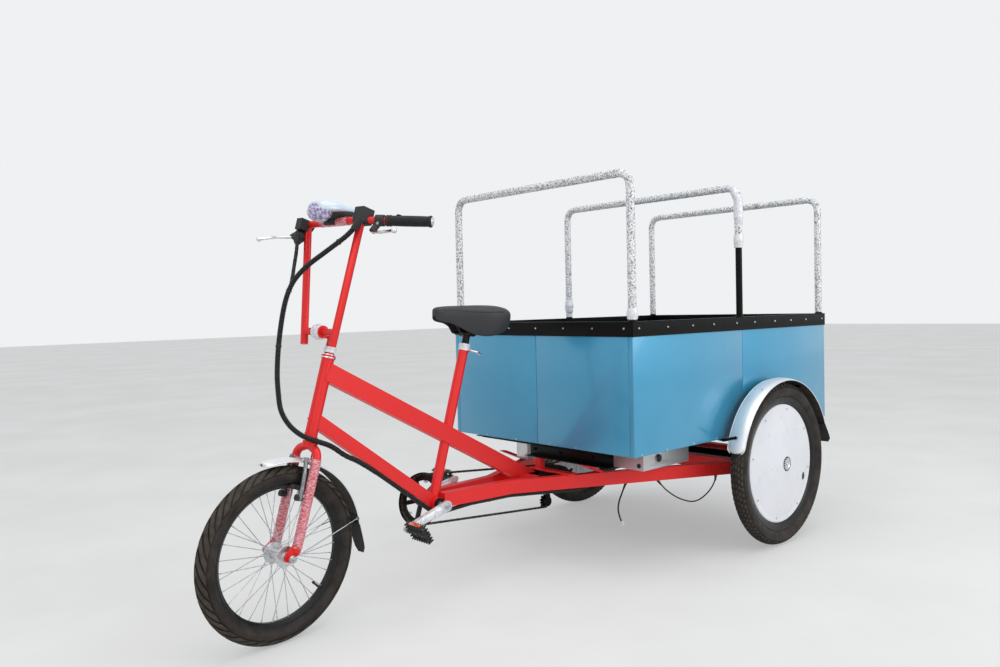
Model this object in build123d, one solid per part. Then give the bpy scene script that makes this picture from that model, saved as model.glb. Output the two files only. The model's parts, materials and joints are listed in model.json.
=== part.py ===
"""Electric cargo tricycle: one steered front wheel, a low step-through frame and an open cargo box.

All lengths are in millimetres. +X is forward, +Y is the rider's left and +Z is up.
While a piece is made, x is counted from the rear axle and z from the ground.
"""

from build123d import *
import math
import os

# Cargo box
BOX_LENGTH = 1335.0
BOX_WIDTH = 928.0
BOX_FRONT_X = 819.0
BOX_BOTTOM_Z = 443.0
BOX_HEIGHT = 452.0
BOX_WALL = 20.0
FLOOR_T = 15.0
RIM_BAND_H = 48.0
RIM_BAND_T = 3.0
RIM_LIP_W = 30.0

# Wheels and stance
WHEELBASE = 1873.0
REAR_WHEEL_GAP = 31.5
FRONT_TYRE_D = 514.0
FRONT_TYRE_W = 54.0
FRONT_RIM_D = 420.0
FRONT_RIM_W = 28.0
FRONT_RIM_DEPTH = 18.0
REAR_TYRE_D = 636.0
REAR_TYRE_W = 62.0
REAR_RIM_D = 520.0
REAR_RIM_W = 38.0
REAR_RIM_DEPTH = 28.0
SPOKE_W = 2.6
SPOKES_PER_SIDE = 18
SPOKE_CROSS = 18.0
RIM_TAPER = 0.6
COVER_DISC_T = 3.0
COVER_HOLE_D = 58.0
COVER_HUB_Y = 34.0
COVER_RIM_Y = 8.0

# Steering
HEAD_TILT = 16.2
STEER_AT_REST = 6.3
HEAD_BOTTOM_Z = 586.0
HEAD_TUBE_D = 38.0
HEAD_TUBE_BORE = 31.0
HEAD_TUBE_L = 236.0
HEADSET_D = 44.0
HEADSET_H = 10.0
STEERER_D = 28.6
FORK_RAKE = 18.6
LEG_D = 25.0
LEG_SPREAD = 52.0
LEG_BEND_R = 30.0
LEG_FOOT_RISE = 18.0
CROWN_D = 40.0
CROWN_DROP = 12.0
CROWN_H = 22.0
DROPOUT_T = 6.0
FRONT_AXLE_D = 10.0
FRONT_NUT_D = 20.0
FRONT_NUT_H = 9.0
AXLE_OVERHANG = 14.0

# Front brake, in the steering frame as (forward, left, up)
BRAKE_BOSS = (0.0, 52.0, -172.0)
BRAKE_PIVOT = (22.0, 42.0, -172.0)
BRAKE_ARM_TOP = (24.0, 42.0, -60.0)
BRAKE_BOSS_D = 10.0
BRAKE_ARM_D = 12.0
BRAKE_CABLE_D = 3.0
BRAKE_PAD_L = 50.0
BRAKE_PAD_Y = (18.0, 26.0)
BRAKE_PAD_R = (194.0, 203.0)

# Frame tubes
UPPER_BEAM_DEPTH = 55.0
UPPER_BEAM_W = 40.0
UPPER_BEAM_HEAD_Z = 775.0
# How far behind the front cross tube the upper beam's axis meets the rails' undersides
UPPER_BEAM_FOOT_SETBACK = 91.5
LOWER_BEAM_DEPTH = 40.0
LOWER_BEAM_W = 34.0
LOWER_BEAM_HEAD_Z = 633.0
SEAT_TUBE_D = 34.0
SEAT_TUBE_LEAN = 16.7
SEAT_TUBE_TOP_Z = 824.0
SEAT_BORE_DEPTH = 160.0
BRACKET_SETBACK = 561.0
BRACKET_Z = 309.0
BRACKET_D = 44.0
BRACKET_W = 72.0
SPINDLE_D = 17.0
RAIL_DEPTH = 48.0
RAIL_W = 30.0
RAIL_Z = 320.0
RAIL_FRONT_Y = 30.0
RAIL_BEND_X = 1010.0
RAIL_BEND_Y = 52.0
RAIL_REAR_X = 200.0
RAIL_INSET = 24.0
RAIL_END_X = -135.0
RAIL_START_GAP = 17.0
CROSS_TUBE_W = 40.0
CROSS_TUBE_X = (905.0, 160.0, -110.0)

# What carries the front of the box
BEARER_H = 52.0
BEARER_W = 34.0
BEARER_REACH = 345.0
POST_W = 26.0
POST_FOOT_L = 40.0
POST_FOOT_T = 6.0
POST_FOOT_RIGHT_Y = -46.0
STRUT_SETBACK = 129.0
STRUT_W = 24.0
STAND_X = (35.0, -105.0)
STAND_L = 50.0

# Hoops over the box
HOOP_TOP_Z = 1398.0
HOOP_TUBE_D = 25.0
HOOP_WRAP_T = 3.0
HOOP_BEND_R = 55.0
HOOP_INSET = 15.0
HOOP_MIDDLE_X = 142.0
HOOP_END_INSET = 20.0
BARE_POST_H = 275.0

# Drive
CRANK_L = 165.0
CRANK_DROP = 15.3
CRANK_ARM_Y = 70.0
CRANK_ARM_T = 12.0
CRANK_BOSS_D = 36.0
CRANK_EYE_D = 24.0
PEDAL_AXLE_D = 12.0
PEDAL_GAP = 9.0
PEDAL_L = 90.0
PEDAL_W = 62.0
PEDAL_T = 24.0
PEDAL_BARREL_D = 22.0
PEDAL_PLATE_T = 6.0
PEDAL_TREAD_W = 10.0
PEDAL_END_H = 16.0
PEDAL_CHAMFER = 9.0
PEDAL_TURN = 60.0
CHAIN_PITCH = 12.7
CHAIN_H = 8.0
CHAIN_PLANE_Y = -58.0
CHAIN_OUTER_W = 8.0
CHAIN_INNER_W = 5.4
CHAIN_WAIST = 0.75
CHAIN_GAP = 0.3
RING_TEETH = 42
RING_DEPTH = 15.0
GUARD_MARGIN = 11.0
SPIDER_ARMS = 5
SPIDER_W = 14.0
SPROCKET_T = 2.6
MOTOR_X = 745.0
MOTOR_Z = 303.0
MOTOR_D = 104.0
MOTOR_EDGE_R = 8.0
MOTOR_SHAFT_D = 17.0
MOTOR_RIGHT_Y = -34.0
MOTOR_LEFT_Y = 74.0
MOTOR_PLATE_T = 6.0
PEDAL_SPROCKET_TEETH = 20
DRIVE_SPROCKET_TEETH = 14
AXLE_SPROCKET_TEETH = 32
DRIVE_PLANE_Y = -72.0
IDLER_X = 722.0
IDLER_Z = 201.0
IDLER_PIN_R = 24.0

# Handlebar, in the steering frame as (forward, left, up)
UPRIGHT_FOOT = (46.5, 70.0, 268.0)
UPRIGHT_CLAMP = (50.7, 77.0, 307.0)
UPRIGHT_TOP = (87.0, 130.0, 632.0)
UPRIGHT_D = 23.0
BAR_BEND = (88.0, 118.0, 638.0)
BAR_END = (-24.0, 306.0, 662.0)
BAR_BEND_R = 60.0
BAR_D = 22.2
STEM_D = 30.0
STEM_REACH_D = 28.0
STEM_CLAMP_D = 38.0
STEM_CLAMP_W = 40.0
STEM_CAP_H = 12.0

# Grips, levers and display, as lengths along the swept end of the bar
GRIP_START = 96.0
GRIP_END = 220.0
GRIP_D = 33.0
PERCH_PLACE = 66.0
PERCH_L = 26.0
PERCH_D = 34.0
PERCH_NECK_D = 20.0
LEVER_D = 9.0
LEVER_BEND_R = 40.0
LEVER_BALL_D = 16.0
# Each lever's route as offsets from its perch
LEVER_ROUTES = {
    "left": [(20, 0, -40), (22, 40, -46), (20, 95, -42)],
    "right": [(40, 20, -48), (70, 60, -56), (98, 110, -70)],
}
DISPLAY_FORWARD = (62.0, 104.0)
DISPLAY_LEFT = (110.0, 150.0)
DISPLAY_UP = (628.0, 674.0)
GLAND_D = 20.0
GLAND_L = 40.0
SWITCH_FORWARD = (88.0, 122.0)
SWITCH_RIGHT = (-146.0, -118.0)
SWITCH_UP = (613.5, 648.0)

# Lamp, with its sections as (forward, width, height)
LAMP_CENTRE = (103.0, 0.0, 672.0)
LAMP_SECTIONS = [(-80, 34, 22), (-60, 74, 46), (-20, 100, 68), (20, 108, 76), (60, 92, 72), (80, 66, 54)]
LAMP_ROUNDING = 0.42

# Saddle, with its sections as (forward of the tail, half width, drop of the top, depth)
SADDLE_TOP_Z = 966.0
SADDLE_TAIL_SETBACK = 307.0
SADDLE_SECTIONS = [
    (0, 70, 24, 40), (15, 92, 9, 68), (50, 100, 2, 84), (105, 84, 0, 80), (150, 52, 1, 62),
    (195, 31, 3, 48), (245, 24, 8, 40), (272, 17, 14, 30), (279, 9, 20, 18),
]
SADDLE_ROUNDING_SHARE = 0.45
SADDLE_RAIL_Y = 22.0
SADDLE_RAIL_D = 7.0
# Each saddle rail as (x from the tail, z)
SADDLE_RAIL = [(55, 905), (70, 872), (185, 872), (220, 925)]
SADDLE_RAIL_BEND = 12.0
SADDLE_CLAMP_D = 30.0
SADDLE_CLAMP_L = 64.0
SEAT_POST_D = 25.4
SEAT_POST_IN = 150.0

# Fenders, their angles about the axle measured from straight ahead
FENDER_T = 2.0
FENDER_CROWN = 3.0
FENDER_TURNDOWN = 8.0
FENDER_FLAT = 0.6
FRONT_FENDER_GAP = 18.0
FRONT_FENDER_W = 66.0
FRONT_FENDER_FROM = 74.0
FRONT_FENDER_TO = 172.0
FRONT_FLAP_TO = 193.0
FRONT_FLAP_R = 304.0
FRONT_FLAP_W = 52.0
REAR_FENDER_GAP = 14.0
REAR_FENDER_W = 76.0
REAR_FENDER_OFFSET = 6.0
REAR_FENDER_FROM = 14.0
REAR_FENDER_TO = 158.0
REAR_FLAP_TO = 174.0
REAR_FLAP_R = 364.0
REAR_FLAP_W = 68.0
FLAP_T = 3.0
REAR_BRACKETS = (22.0, 62.0, 118.0)
BRACKET_BAR_W = 28.0
BRACKET_BAR_T = 4.0
STAY_D = 4.0
STAY_ANGLE = 167.5
STAY_EYE_D = 18.0
STAY_EYE_T = 2.0

# Battery tray and controller under the box floor
TRAY_FRONT_SETBACK = 172.0
TRAY_L = 274.0
TRAY_W = 265.0
TRAY_H = 83.0
TRAY_SIDE_INSET = 99.0
SOCKET_D = 25.0
SOCKET_T = 5.0
SOCKET_SETBACK = 85.0
SOCKET_DROP = 46.0
KEY_HOLE_D = 14.0
KEY_HOLE_INSET = 20.0
KEY_HOLE_DROP = 66.0
CONTROLLER_FRONT_SETBACK = 39.0
CONTROLLER_L = 90.0
CONTROLLER_W = 60.0
CONTROLLER_H = 78.0
CONTROLLER_RIGHT_Y = -150.0

# Conduit held along the lower beam, the bracket and the left rail, as (x, y, z)
DUCT_D = 14.0
DUCT_BEND_R = 40.0
# Where the duct bends, as (x from the bottom bracket, y, z)
DUCT_MOUTH = (228.0, 15.0, 445.7)
DUCT_UNDER_BRACKET = (1.0, 15.0, 272.8)
DUCT_ON_RAIL_Y = 40.0
DUCT_ON_RAIL_SHARE = 0.563
DUCT_END_X = 760.0
DUCT_CLEARANCE = 0.1

# Loose leads, as points (x, y, z) where their straight runs would meet
HARNESS_D = 14.0
HARNESS_BRANCH_D = 11.0
LOOP_LEAD_D = 5.0
DROP_LEAD_D = 6.0
PLUG_D = 14.0
CORD_ARC_SHARE = 0.45
HARNESS_UPPER = [
    (1675, 136, 1193), (1685, 120, 1175), (1711, 90, 1148), (1734, 60, 1123), (1763, 30, 1095),
    (1784, 0, 1064), (1802, -10, 1035), (1817, -20, 989), (1832, -20, 925), (1847, -15, 847),
    (1858, -5, 772), (1859, 0, 721), (1859, 3.47, 705.15),
]
HARNESS_LOWER = [
    (1859, 3.53, 704.85), (1859, 10, 675), (1844, 20, 637), (1824, 34, 610), (1796, 40, 590),
    (1757, 41, 574), (1708, 35, 554), (1658, 25, 516), (1603, 17, 491), (1541, 15, 446.4),
]
HARNESS_BRANCH = [
    (1714, -120, 1209), (1735, -90, 1151), (1763, -60, 1094), (1781, -38, 1060), (1798.3, -15, 1038.7),
]
LOOP_LEAD = [
    (485, 304, 294), (463, 314, 264), (437, 327, 240), (410, 339, 221), (383, 353, 208), (355, 366, 200),
    (327, 379, 205), (299, 392, 224), (279, 402, 247), (265, 409, 273), (262, 410, 295),
]
DROP_LEAD = [
    (603, 247, 294.5), (611, 243, 275), (619, 239, 253), (628, 235, 232), (633, 233, 206),
    (630, 234, 179), (622, 238, 156),
]
PLUG_L = 20.0

# Clearances
SHAFT_GAP = 0.3
SEAT_GAP = 0.3

# Places worked out from the sizes above
REAR_AXLE_Z = REAR_TYRE_D / 2
FRONT_AXLE_Z = FRONT_TYRE_D / 2
REAR_WHEEL_Y = BOX_WIDTH / 2 + REAR_WHEEL_GAP + REAR_TYRE_W / 2
BOX_REAR_X = BOX_FRONT_X - BOX_LENGTH
BOX_TOP_Z = BOX_BOTTOM_Z + BOX_HEIGHT
RAIL_TOP_Z = RAIL_Z + RAIL_DEPTH / 2
RAIL_BOTTOM_Z = RAIL_Z - RAIL_DEPTH / 2
RAIL_REAR_Y = BOX_WIDTH / 2 - RAIL_INSET
RAIL_OUTER_Y = RAIL_REAR_Y + RAIL_W / 2
BEARER_Z = BOX_BOTTOM_Z - BEARER_H
SIDES = {"left": 1, "right": -1}

TILT_SIN = math.sin(math.radians(HEAD_TILT))
TILT_COS = math.cos(math.radians(HEAD_TILT))
REST_SIN = math.sin(math.radians(STEER_AT_REST))
REST_COS = math.cos(math.radians(STEER_AT_REST))
FRONT_HUB_S = (FRONT_AXLE_Z - HEAD_BOTTOM_Z - FORK_RAKE * TILT_SIN) / TILT_COS
HEAD_BOTTOM_X = WHEELBASE - FORK_RAKE * TILT_COS + FRONT_HUB_S * TILT_SIN

# The turned front tyre is the foremost point and the box rim the rearmost; the origin is between them
BRACKET_X = WHEELBASE - BRACKET_SETBACK
SADDLE_TAIL_X = BRACKET_X - SADDLE_TAIL_SETBACK
FRONT_HUB_X = WHEELBASE - FORK_RAKE * TILT_COS * (1 - REST_COS)
TYRE_CORE_R = (FRONT_TYRE_D - FRONT_TYRE_W) / 2
FRONT_REACH_X = FRONT_HUB_X + TYRE_CORE_R * math.sqrt(1 - (TILT_COS * REST_SIN) ** 2) + FRONT_TYRE_W / 2
REAR_REACH_X = BOX_REAR_X - RIM_BAND_T
REAR_AXLE_X = -(FRONT_REACH_X + REAR_REACH_X) / 2

# Steering frame: origin at the foot of the head tube, x forward, z up along the steering axis
STEER_PLANE = Plane(
    origin=(HEAD_BOTTOM_X, 0, HEAD_BOTTOM_Z),
    x_dir=(TILT_COS, 0, TILT_SIN),
    z_dir=(-TILT_SIN, 0, TILT_COS),
)


def save(name, shape):
    """Write one piece, with the origin under the middle of the vehicle."""
    export_step(Pos(REAR_AXLE_X, 0, 0) * shape, f"parts/{name}.step")


def steered(shape):
    """Place a shape made in the steering frame, turned to where the handlebar rests."""
    return STEER_PLANE.location * Rot(0, 0, STEER_AT_REST) * shape


def block(x0, x1, y0, y1, z0, z1):
    """A box between two opposite corners."""
    centre = Pos((x0 + x1) / 2, (y0 + y1) / 2, (z0 + z1) / 2)
    return centre * Box(x1 - x0, y1 - y0, z1 - z0)


def rod(start, end, diameter):
    """A round bar from one point to another."""
    a = Vector(*start)
    b = Vector(*end)
    plane = Plane(origin=a, z_dir=b - a)
    return extrude(plane * Circle(diameter / 2), amount=(b - a).length)


def tube(start, end, outer_d, inner_d):
    """A round tube from one point to another."""
    return rod(start, end, outer_d) - rod(start, end, inner_d)


def cross_rod(x, z, y0, y1, diameter):
    """A round bar that lies across the vehicle."""
    return rod((x, y0, z), (x, y1, z), diameter)


def cord(points, diameter):
    """A loose lead: straight runs joined by tangent arcs, its least bend printed in diameters."""
    runs = [Vector(*b) - Vector(*a) for a, b in zip(points, points[1:])]
    radii = []
    for before, after in zip(runs, runs[1:]):
        half_turn = math.radians(before.get_angle(after)) / 2
        radii.append(CORD_ARC_SHARE * min(before.length, after.length) / math.tan(half_turn))
    print("cord", diameter, "bend radii", [round(radius) for radius in radii])
    path = FilletPolyline(*points, radius=radii)
    start = Plane(origin=path @ 0, z_dir=path % 0)
    return sweep(start * Circle(diameter / 2), path=path)


def side_plate(points, y0, y1):
    """A plate with an outline in the XZ plane, from y0 to y1."""
    outline = make_face(Polyline(*[(x, y0, z) for x, z in points], close=True))
    return extrude(outline, amount=y1 - y0, dir=(0, 1, 0))


def flat_plate(points, z0, z1):
    """A plate with an outline in the XY plane, from z0 to z1."""
    outline = make_face(Polyline(*[(x, y, z0) for x, y in points], close=True))
    return extrude(outline, amount=z1 - z0, dir=(0, 0, 1))


def bent_rod(points, bend, diameter):
    """A round bar along straight runs with bends of one radius."""
    path = FilletPolyline(*points, radius=bend)
    start = Plane(origin=path @ 0, z_dir=path % 0)
    return sweep(start * Circle(diameter / 2), path=path)


def turned(profile):
    """A ring or disc about the Y axis from points (radius, y)."""
    return revolve(make_face(Polyline(*profile, close=True)), axis=Axis.Y)


def mirrored(shape):
    """The same shape on the other side of the vehicle."""
    return mirror(shape, about=Plane.XZ)


def on_side(shape, side):
    """A shape made for the left side, put on the named side."""
    return shape if SIDES[side] > 0 else mirrored(shape)


def polar(radius, degrees):
    """A point (x, z) on a circle about the origin, 0 degrees forward and 90 up."""
    angle = math.radians(degrees)
    return (radius * math.cos(angle), radius * math.sin(angle))


def pitch_radius(teeth):
    """The radius at which a chain rides on a sprocket."""
    return CHAIN_PITCH / (2 * math.sin(math.pi / teeth))


def body_radius(pin_radius):
    """How large a wheel may be under a chain whose pins run at a radius."""
    return math.sqrt(pin_radius ** 2 - (CHAIN_PITCH / 2) ** 2) - CHAIN_H / 2 - CHAIN_GAP


def tyre(outer_d, width, rim_d, rim_w):
    """A round tyre, seated on its rim."""
    section_r = width / 2
    ring = revolve(Pos(outer_d / 2 - section_r, 0) * Circle(section_r), axis=Axis.Y)
    return ring - cross_rod(0, 0, -rim_w / 2, rim_w / 2, rim_d)


def rim(outer_d, width, depth):
    """A rim that narrows towards the spokes."""
    r_out = outer_d / 2
    r_in = r_out - depth
    half = width / 2
    inner_half = half * RIM_TAPER
    profile = [(r_out, half), (r_out, -half), (r_in, -inner_half), (r_in, inner_half)]
    return turned(profile)


def spokes(hole_r, rim_r, flange_y, rim_y):
    """Crossed spokes from both flanges of a hub to the rim."""
    bars = []
    step = 360 / SPOKES_PER_SIDE
    for side in (1, -1):
        for n in range(SPOKES_PER_SIDE):
            angle = n * step + (step / 2 if side < 0 else 0)
            lean = SPOKE_CROSS if n % 2 else -SPOKE_CROSS
            x0, z0 = polar(hole_r, angle)
            x1, z1 = polar(rim_r, angle + lean)
            start = Vector(x0, side * flange_y, z0)
            end = Vector(x1, side * rim_y, z1)
            plane = Plane(origin=start, z_dir=end - start)
            bars.append(extrude(plane * Rectangle(SPOKE_W, SPOKE_W), amount=(end - start).length))
    return bars


def beam(start, slope, length, depth, width):
    """A rectangular tube in the middle plane that falls rearwards from its start."""
    body = Box(length, width, depth, align=(Align.MAX, Align.CENTER, Align.CENTER))
    return Pos(*start) * Rot(0, -slope, 0) * body


def rounded_loft(sections, rounding):
    """A solid through rounded rectangles (x, width, middle z, height) that face forward."""
    faces = []
    for x, width, z, height in sections:
        plane = Plane(origin=(x, 0, z), x_dir=(0, 1, 0), z_dir=(1, 0, 0))
        faces.append(plane * RectangleRounded(width, height, min(width, height) * rounding))
    return loft(faces, ruled=True)


# Frame

def head_axis_x(z):
    """Where the steering axis is at a height."""
    return HEAD_BOTTOM_X + (HEAD_BOTTOM_Z - z) * math.tan(math.radians(HEAD_TILT))


def seat_axis_x(z):
    """Where the seat tube's axis is at a height."""
    return BRACKET_X - (z - BRACKET_Z) * math.tan(math.radians(SEAT_TUBE_LEAN))


def rail(side):
    """One chassis rail, from the bottom bracket out to the rear axle."""
    half = RAIL_W / 2
    front_x = BRACKET_X - RAIL_START_GAP
    inner = [
        (front_x, RAIL_FRONT_Y - half),
        (RAIL_BEND_X, RAIL_BEND_Y - half),
        (RAIL_REAR_X, RAIL_REAR_Y - half),
        (RAIL_END_X, RAIL_REAR_Y - half),
    ]
    outer = [(x, y + RAIL_W) for x, y in reversed(inner)]
    solid = flat_plate(inner + outer, RAIL_BOTTOM_Z, RAIL_TOP_Z)
    return on_side(solid, side)


def rail_y(x):
    """The middle of the left rail behind its bend."""
    share = (RAIL_BEND_X - x) / (RAIL_BEND_X - RAIL_REAR_X)
    return min(RAIL_REAR_Y, RAIL_BEND_Y + share * (RAIL_REAR_Y - RAIL_BEND_Y))


def build_frame():
    """The welded frame: head tube, beams, seat tube, bracket, rails and cross tubes."""
    head = STEER_PLANE.location * tube((0, 0, 0), (0, 0, HEAD_TUBE_L), HEAD_TUBE_D, HEAD_TUBE_BORE)
    head_core = STEER_PLANE.location * rod((0, 0, -HEADSET_H), (0, 0, HEAD_TUBE_L), HEAD_TUBE_D)
    shell = cross_rod(BRACKET_X, BRACKET_Z, -BRACKET_W / 2, BRACKET_W / 2, BRACKET_D)
    upper_start_x = head_axis_x(UPPER_BEAM_HEAD_Z)
    rise = UPPER_BEAM_HEAD_Z - RAIL_BOTTOM_Z
    reach = upper_start_x - (CROSS_TUBE_X[0] - UPPER_BEAM_FOOT_SETBACK)
    upper_slope = math.degrees(math.atan2(rise, reach))
    upper = beam((upper_start_x, 0, UPPER_BEAM_HEAD_Z), upper_slope, math.hypot(rise, reach),
                 UPPER_BEAM_DEPTH, UPPER_BEAM_W)
    upper = upper - head_core
    upper = upper - block(0, WHEELBASE, -BOX_WIDTH, BOX_WIDTH, 0, RAIL_TOP_Z)
    lower_start_x = head_axis_x(LOWER_BEAM_HEAD_Z)
    drop = LOWER_BEAM_HEAD_Z - BRACKET_Z
    lower_slope = math.degrees(math.atan2(drop, lower_start_x - BRACKET_X))
    lower = beam((lower_start_x, 0, LOWER_BEAM_HEAD_Z), lower_slope,
                 math.hypot(drop, lower_start_x - BRACKET_X), LOWER_BEAM_DEPTH, LOWER_BEAM_W)
    rails = {side: rail(side) - shell for side in SIDES}
    lower = lower - head_core - shell - rails["left"] - rails["right"]
    seat = rod((BRACKET_X, 0, BRACKET_Z), (seat_axis_x(SEAT_TUBE_TOP_Z), 0, SEAT_TUBE_TOP_Z), SEAT_TUBE_D)
    bore_foot_z = SEAT_TUBE_TOP_Z - SEAT_BORE_DEPTH
    bore_top_z = SEAT_TUBE_TOP_Z + SEAT_TUBE_D
    seat = seat - rod((seat_axis_x(bore_foot_z), 0, bore_foot_z), (seat_axis_x(bore_top_z), 0, bore_top_z),
                      SEAT_POST_D + 2 * SEAT_GAP)
    seat = seat - shell - upper - lower - rails["left"] - rails["right"]
    cup_bore = STEERER_D + 2 * SHAFT_GAP
    head_top = (0, 0, HEAD_TUBE_L)
    head += STEER_PLANE.location * tube(head_top, (0, 0, HEAD_TUBE_L + HEADSET_H), HEADSET_D, cup_bore)
    head += STEER_PLANE.location * tube((0, 0, -HEADSET_H), (0, 0, 0), HEADSET_D, cup_bore)
    save("frame_head_tube", head)
    save("frame_upper_beam", upper)
    save("frame_lower_beam", lower)
    seat += shell
    seat -= cross_rod(BRACKET_X, BRACKET_Z, -BRACKET_W, BRACKET_W, SPINDLE_D + 2 * SHAFT_GAP)
    save("frame_seat_tube", seat)
    for side in SIDES:
        save(f"frame_rail_{side}", rails[side])

    # Cross tubes between the rails, as (middle x, how far out each reaches)
    crosses = None
    for x in CROSS_TUBE_X:
        reach = rail_y(x + CROSS_TUBE_W / 2) - RAIL_W / 2
        piece = block(x - CROSS_TUBE_W / 2, x + CROSS_TUBE_W / 2, -reach, reach, RAIL_BOTTOM_Z, RAIL_TOP_Z)
        crosses = piece if crosses is None else crosses + piece
    save("frame_cross_tubes", crosses)


def build_supports():
    """What carries the box: a bearer, a post and two struts in front, and stands over the rear axle."""
    bearer_x = BOX_FRONT_X - BEARER_W
    post_half = POST_W / 2
    support = block(bearer_x, BOX_FRONT_X, -BEARER_REACH, BEARER_REACH, BEARER_Z, BOX_BOTTOM_Z)
    save("box_bearer", support)
    post_x = BOX_FRONT_X - BEARER_W / 2
    post = block(post_x - post_half, post_x + post_half, -post_half, post_half, RAIL_TOP_Z, BEARER_Z)
    post += block(post_x - POST_FOOT_L / 2, post_x + POST_FOOT_L / 2, POST_FOOT_RIGHT_Y,
                  rail_y(post_x) + RAIL_W / 2, RAIL_TOP_Z, RAIL_TOP_Z + POST_FOOT_T)
    save("box_post", post)
    half = STRUT_W / 2
    foot_x = BOX_FRONT_X - STRUT_SETBACK
    y = rail_y(foot_x)
    outline = [(post_x - half, BEARER_Z), (post_x + half, BEARER_Z),
               (foot_x + half, RAIL_TOP_Z), (foot_x - half, RAIL_TOP_Z)]
    strut = side_plate(outline, y - half, y + half)
    stands = [strut, mirrored(strut)]
    for x in STAND_X:
        stand = block(x - STAND_L / 2, x + STAND_L / 2, RAIL_REAR_Y - RAIL_W / 2, RAIL_OUTER_Y,
                      RAIL_TOP_Z, BOX_BOTTOM_Z)
        stands += [stand, mirrored(stand)]
    save("box_stands", Compound([piece.solid() for piece in stands]))


def build_box():
    """The open cargo box: floor, four walls and the rim angle."""
    half = BOX_WIDTH / 2
    floor = block(BOX_REAR_X + BOX_WALL, BOX_FRONT_X - BOX_WALL, -half + BOX_WALL, half - BOX_WALL,
                  BOX_BOTTOM_Z, BOX_BOTTOM_Z + FLOOR_T)
    save("box_floor", floor)
    save("box_front", block(BOX_FRONT_X - BOX_WALL, BOX_FRONT_X, -half, half, BOX_BOTTOM_Z, BOX_TOP_Z))
    save("box_rear", block(BOX_REAR_X, BOX_REAR_X + BOX_WALL, -half, half, BOX_BOTTOM_Z, BOX_TOP_Z))
    for side in SIDES:
        wall = block(BOX_REAR_X + BOX_WALL, BOX_FRONT_X - BOX_WALL, half - BOX_WALL, half,
                     BOX_BOTTOM_Z, BOX_TOP_Z)
        save(f"box_side_{side}", on_side(wall, side))


def build_rim_and_hoops():
    """The black angle round the top of the box and the three hoops that stand on it."""
    half = BOX_WIDTH / 2
    band = block(BOX_REAR_X - RIM_BAND_T, BOX_FRONT_X + RIM_BAND_T, -half - RIM_BAND_T, half + RIM_BAND_T,
                 BOX_TOP_Z - RIM_BAND_H, BOX_TOP_Z + RIM_BAND_T)
    band -= block(BOX_REAR_X, BOX_FRONT_X, -half, half, BOX_BOTTOM_Z, BOX_TOP_Z)
    lip = RIM_LIP_W
    band -= block(BOX_REAR_X + lip, BOX_FRONT_X - lip, -half + lip, half - lip, BOX_BOTTOM_Z, HOOP_TOP_Z)
    save("box_rim", band)
    foot_z = BOX_TOP_Z + RIM_BAND_T
    top_z = HOOP_TOP_Z
    wraps = []
    y = half - HOOP_INSET
    for name, x in {"front": BOX_FRONT_X - HOOP_END_INSET, "middle": HOOP_MIDDLE_X,
                    "rear": BOX_REAR_X + HOOP_END_INSET}.items():
        route = [(x, -y, foot_z), (x, -y, top_z), (x, y, top_z), (x, y, foot_z)]
        save(f"hoop_{name}", bent_rod(route, HOOP_BEND_R, HOOP_TUBE_D))
        wrap_d = HOOP_TUBE_D + 2 * HOOP_WRAP_T
        wrap = bent_rod(route, HOOP_BEND_R, wrap_d) - bent_rod(route, HOOP_BEND_R, HOOP_TUBE_D)
        if name == "middle":
            wrap -= block(x - wrap_d, x + wrap_d, y - wrap_d, y + wrap_d, foot_z, foot_z + BARE_POST_H)
        wraps.append(wrap)
    save("hoop_wraps", Compound(wraps))


def build_front_wheel():
    """Tyre, rim and spoked hub, turning on the axle in the fork."""
    centre = Pos(FORK_RAKE, 0, FRONT_HUB_S)
    bore_r = FRONT_AXLE_D / 2 + SHAFT_GAP
    # Hub profile as (radius, y)
    profile = [(bore_r, -44), (14, -44), (14, -34), (31, -33), (31, -29), (17, -25),
               (17, 25), (31, 29), (31, 33), (14, 34), (14, 44), (bore_r, 44)]
    rim_r = FRONT_RIM_D / 2 - FRONT_RIM_DEPTH
    hub = turned(profile)
    wheel = hub.fuse(rim(FRONT_RIM_D, FRONT_RIM_W, FRONT_RIM_DEPTH), *spokes(27, rim_r + 2, 31, 3))
    save("front_tyre", steered(centre * tyre(FRONT_TYRE_D, FRONT_TYRE_W, FRONT_RIM_D, FRONT_RIM_W)))
    save("front_wheel", steered(centre * wheel))


def build_rear_wheels():
    """Tyre, rim, spoked hub and cover disc on each side."""
    rim_r = REAR_RIM_D / 2 - REAR_RIM_DEPTH
    disc_r = rim_r - SEAT_GAP
    # Hub and stub shaft as (radius, y), the outer end last
    profile = [(0, -69), (10, -69), (10, -30), (32, -30), (46, -29), (46, -25), (30, -21),
               (30, 21), (46, 25), (46, 29), (24, 30), (20, 33), (0, 33)]
    wheel = turned(profile).fuse(rim(REAR_RIM_D, REAR_RIM_W, REAR_RIM_DEPTH), *spokes(41, rim_r + 2, 27, 3))
    hole_r = COVER_HOLE_D / 2
    disc = turned([(hole_r, COVER_HUB_Y), (hole_r, COVER_HUB_Y + COVER_DISC_T),
                   (disc_r, COVER_RIM_Y + COVER_DISC_T), (disc_r, COVER_RIM_Y)])
    for side in SIDES:
        place = Pos(0, REAR_WHEEL_Y, REAR_AXLE_Z)
        rear_tyre = tyre(REAR_TYRE_D, REAR_TYRE_W, REAR_RIM_D, REAR_RIM_W)
        save(f"rear_tyre_{side}", on_side(place * rear_tyre, side))
        save(f"rear_wheel_{side}", on_side(place * wheel, side))
        save(f"rear_cover_{side}", on_side(place * disc, side))


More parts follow.
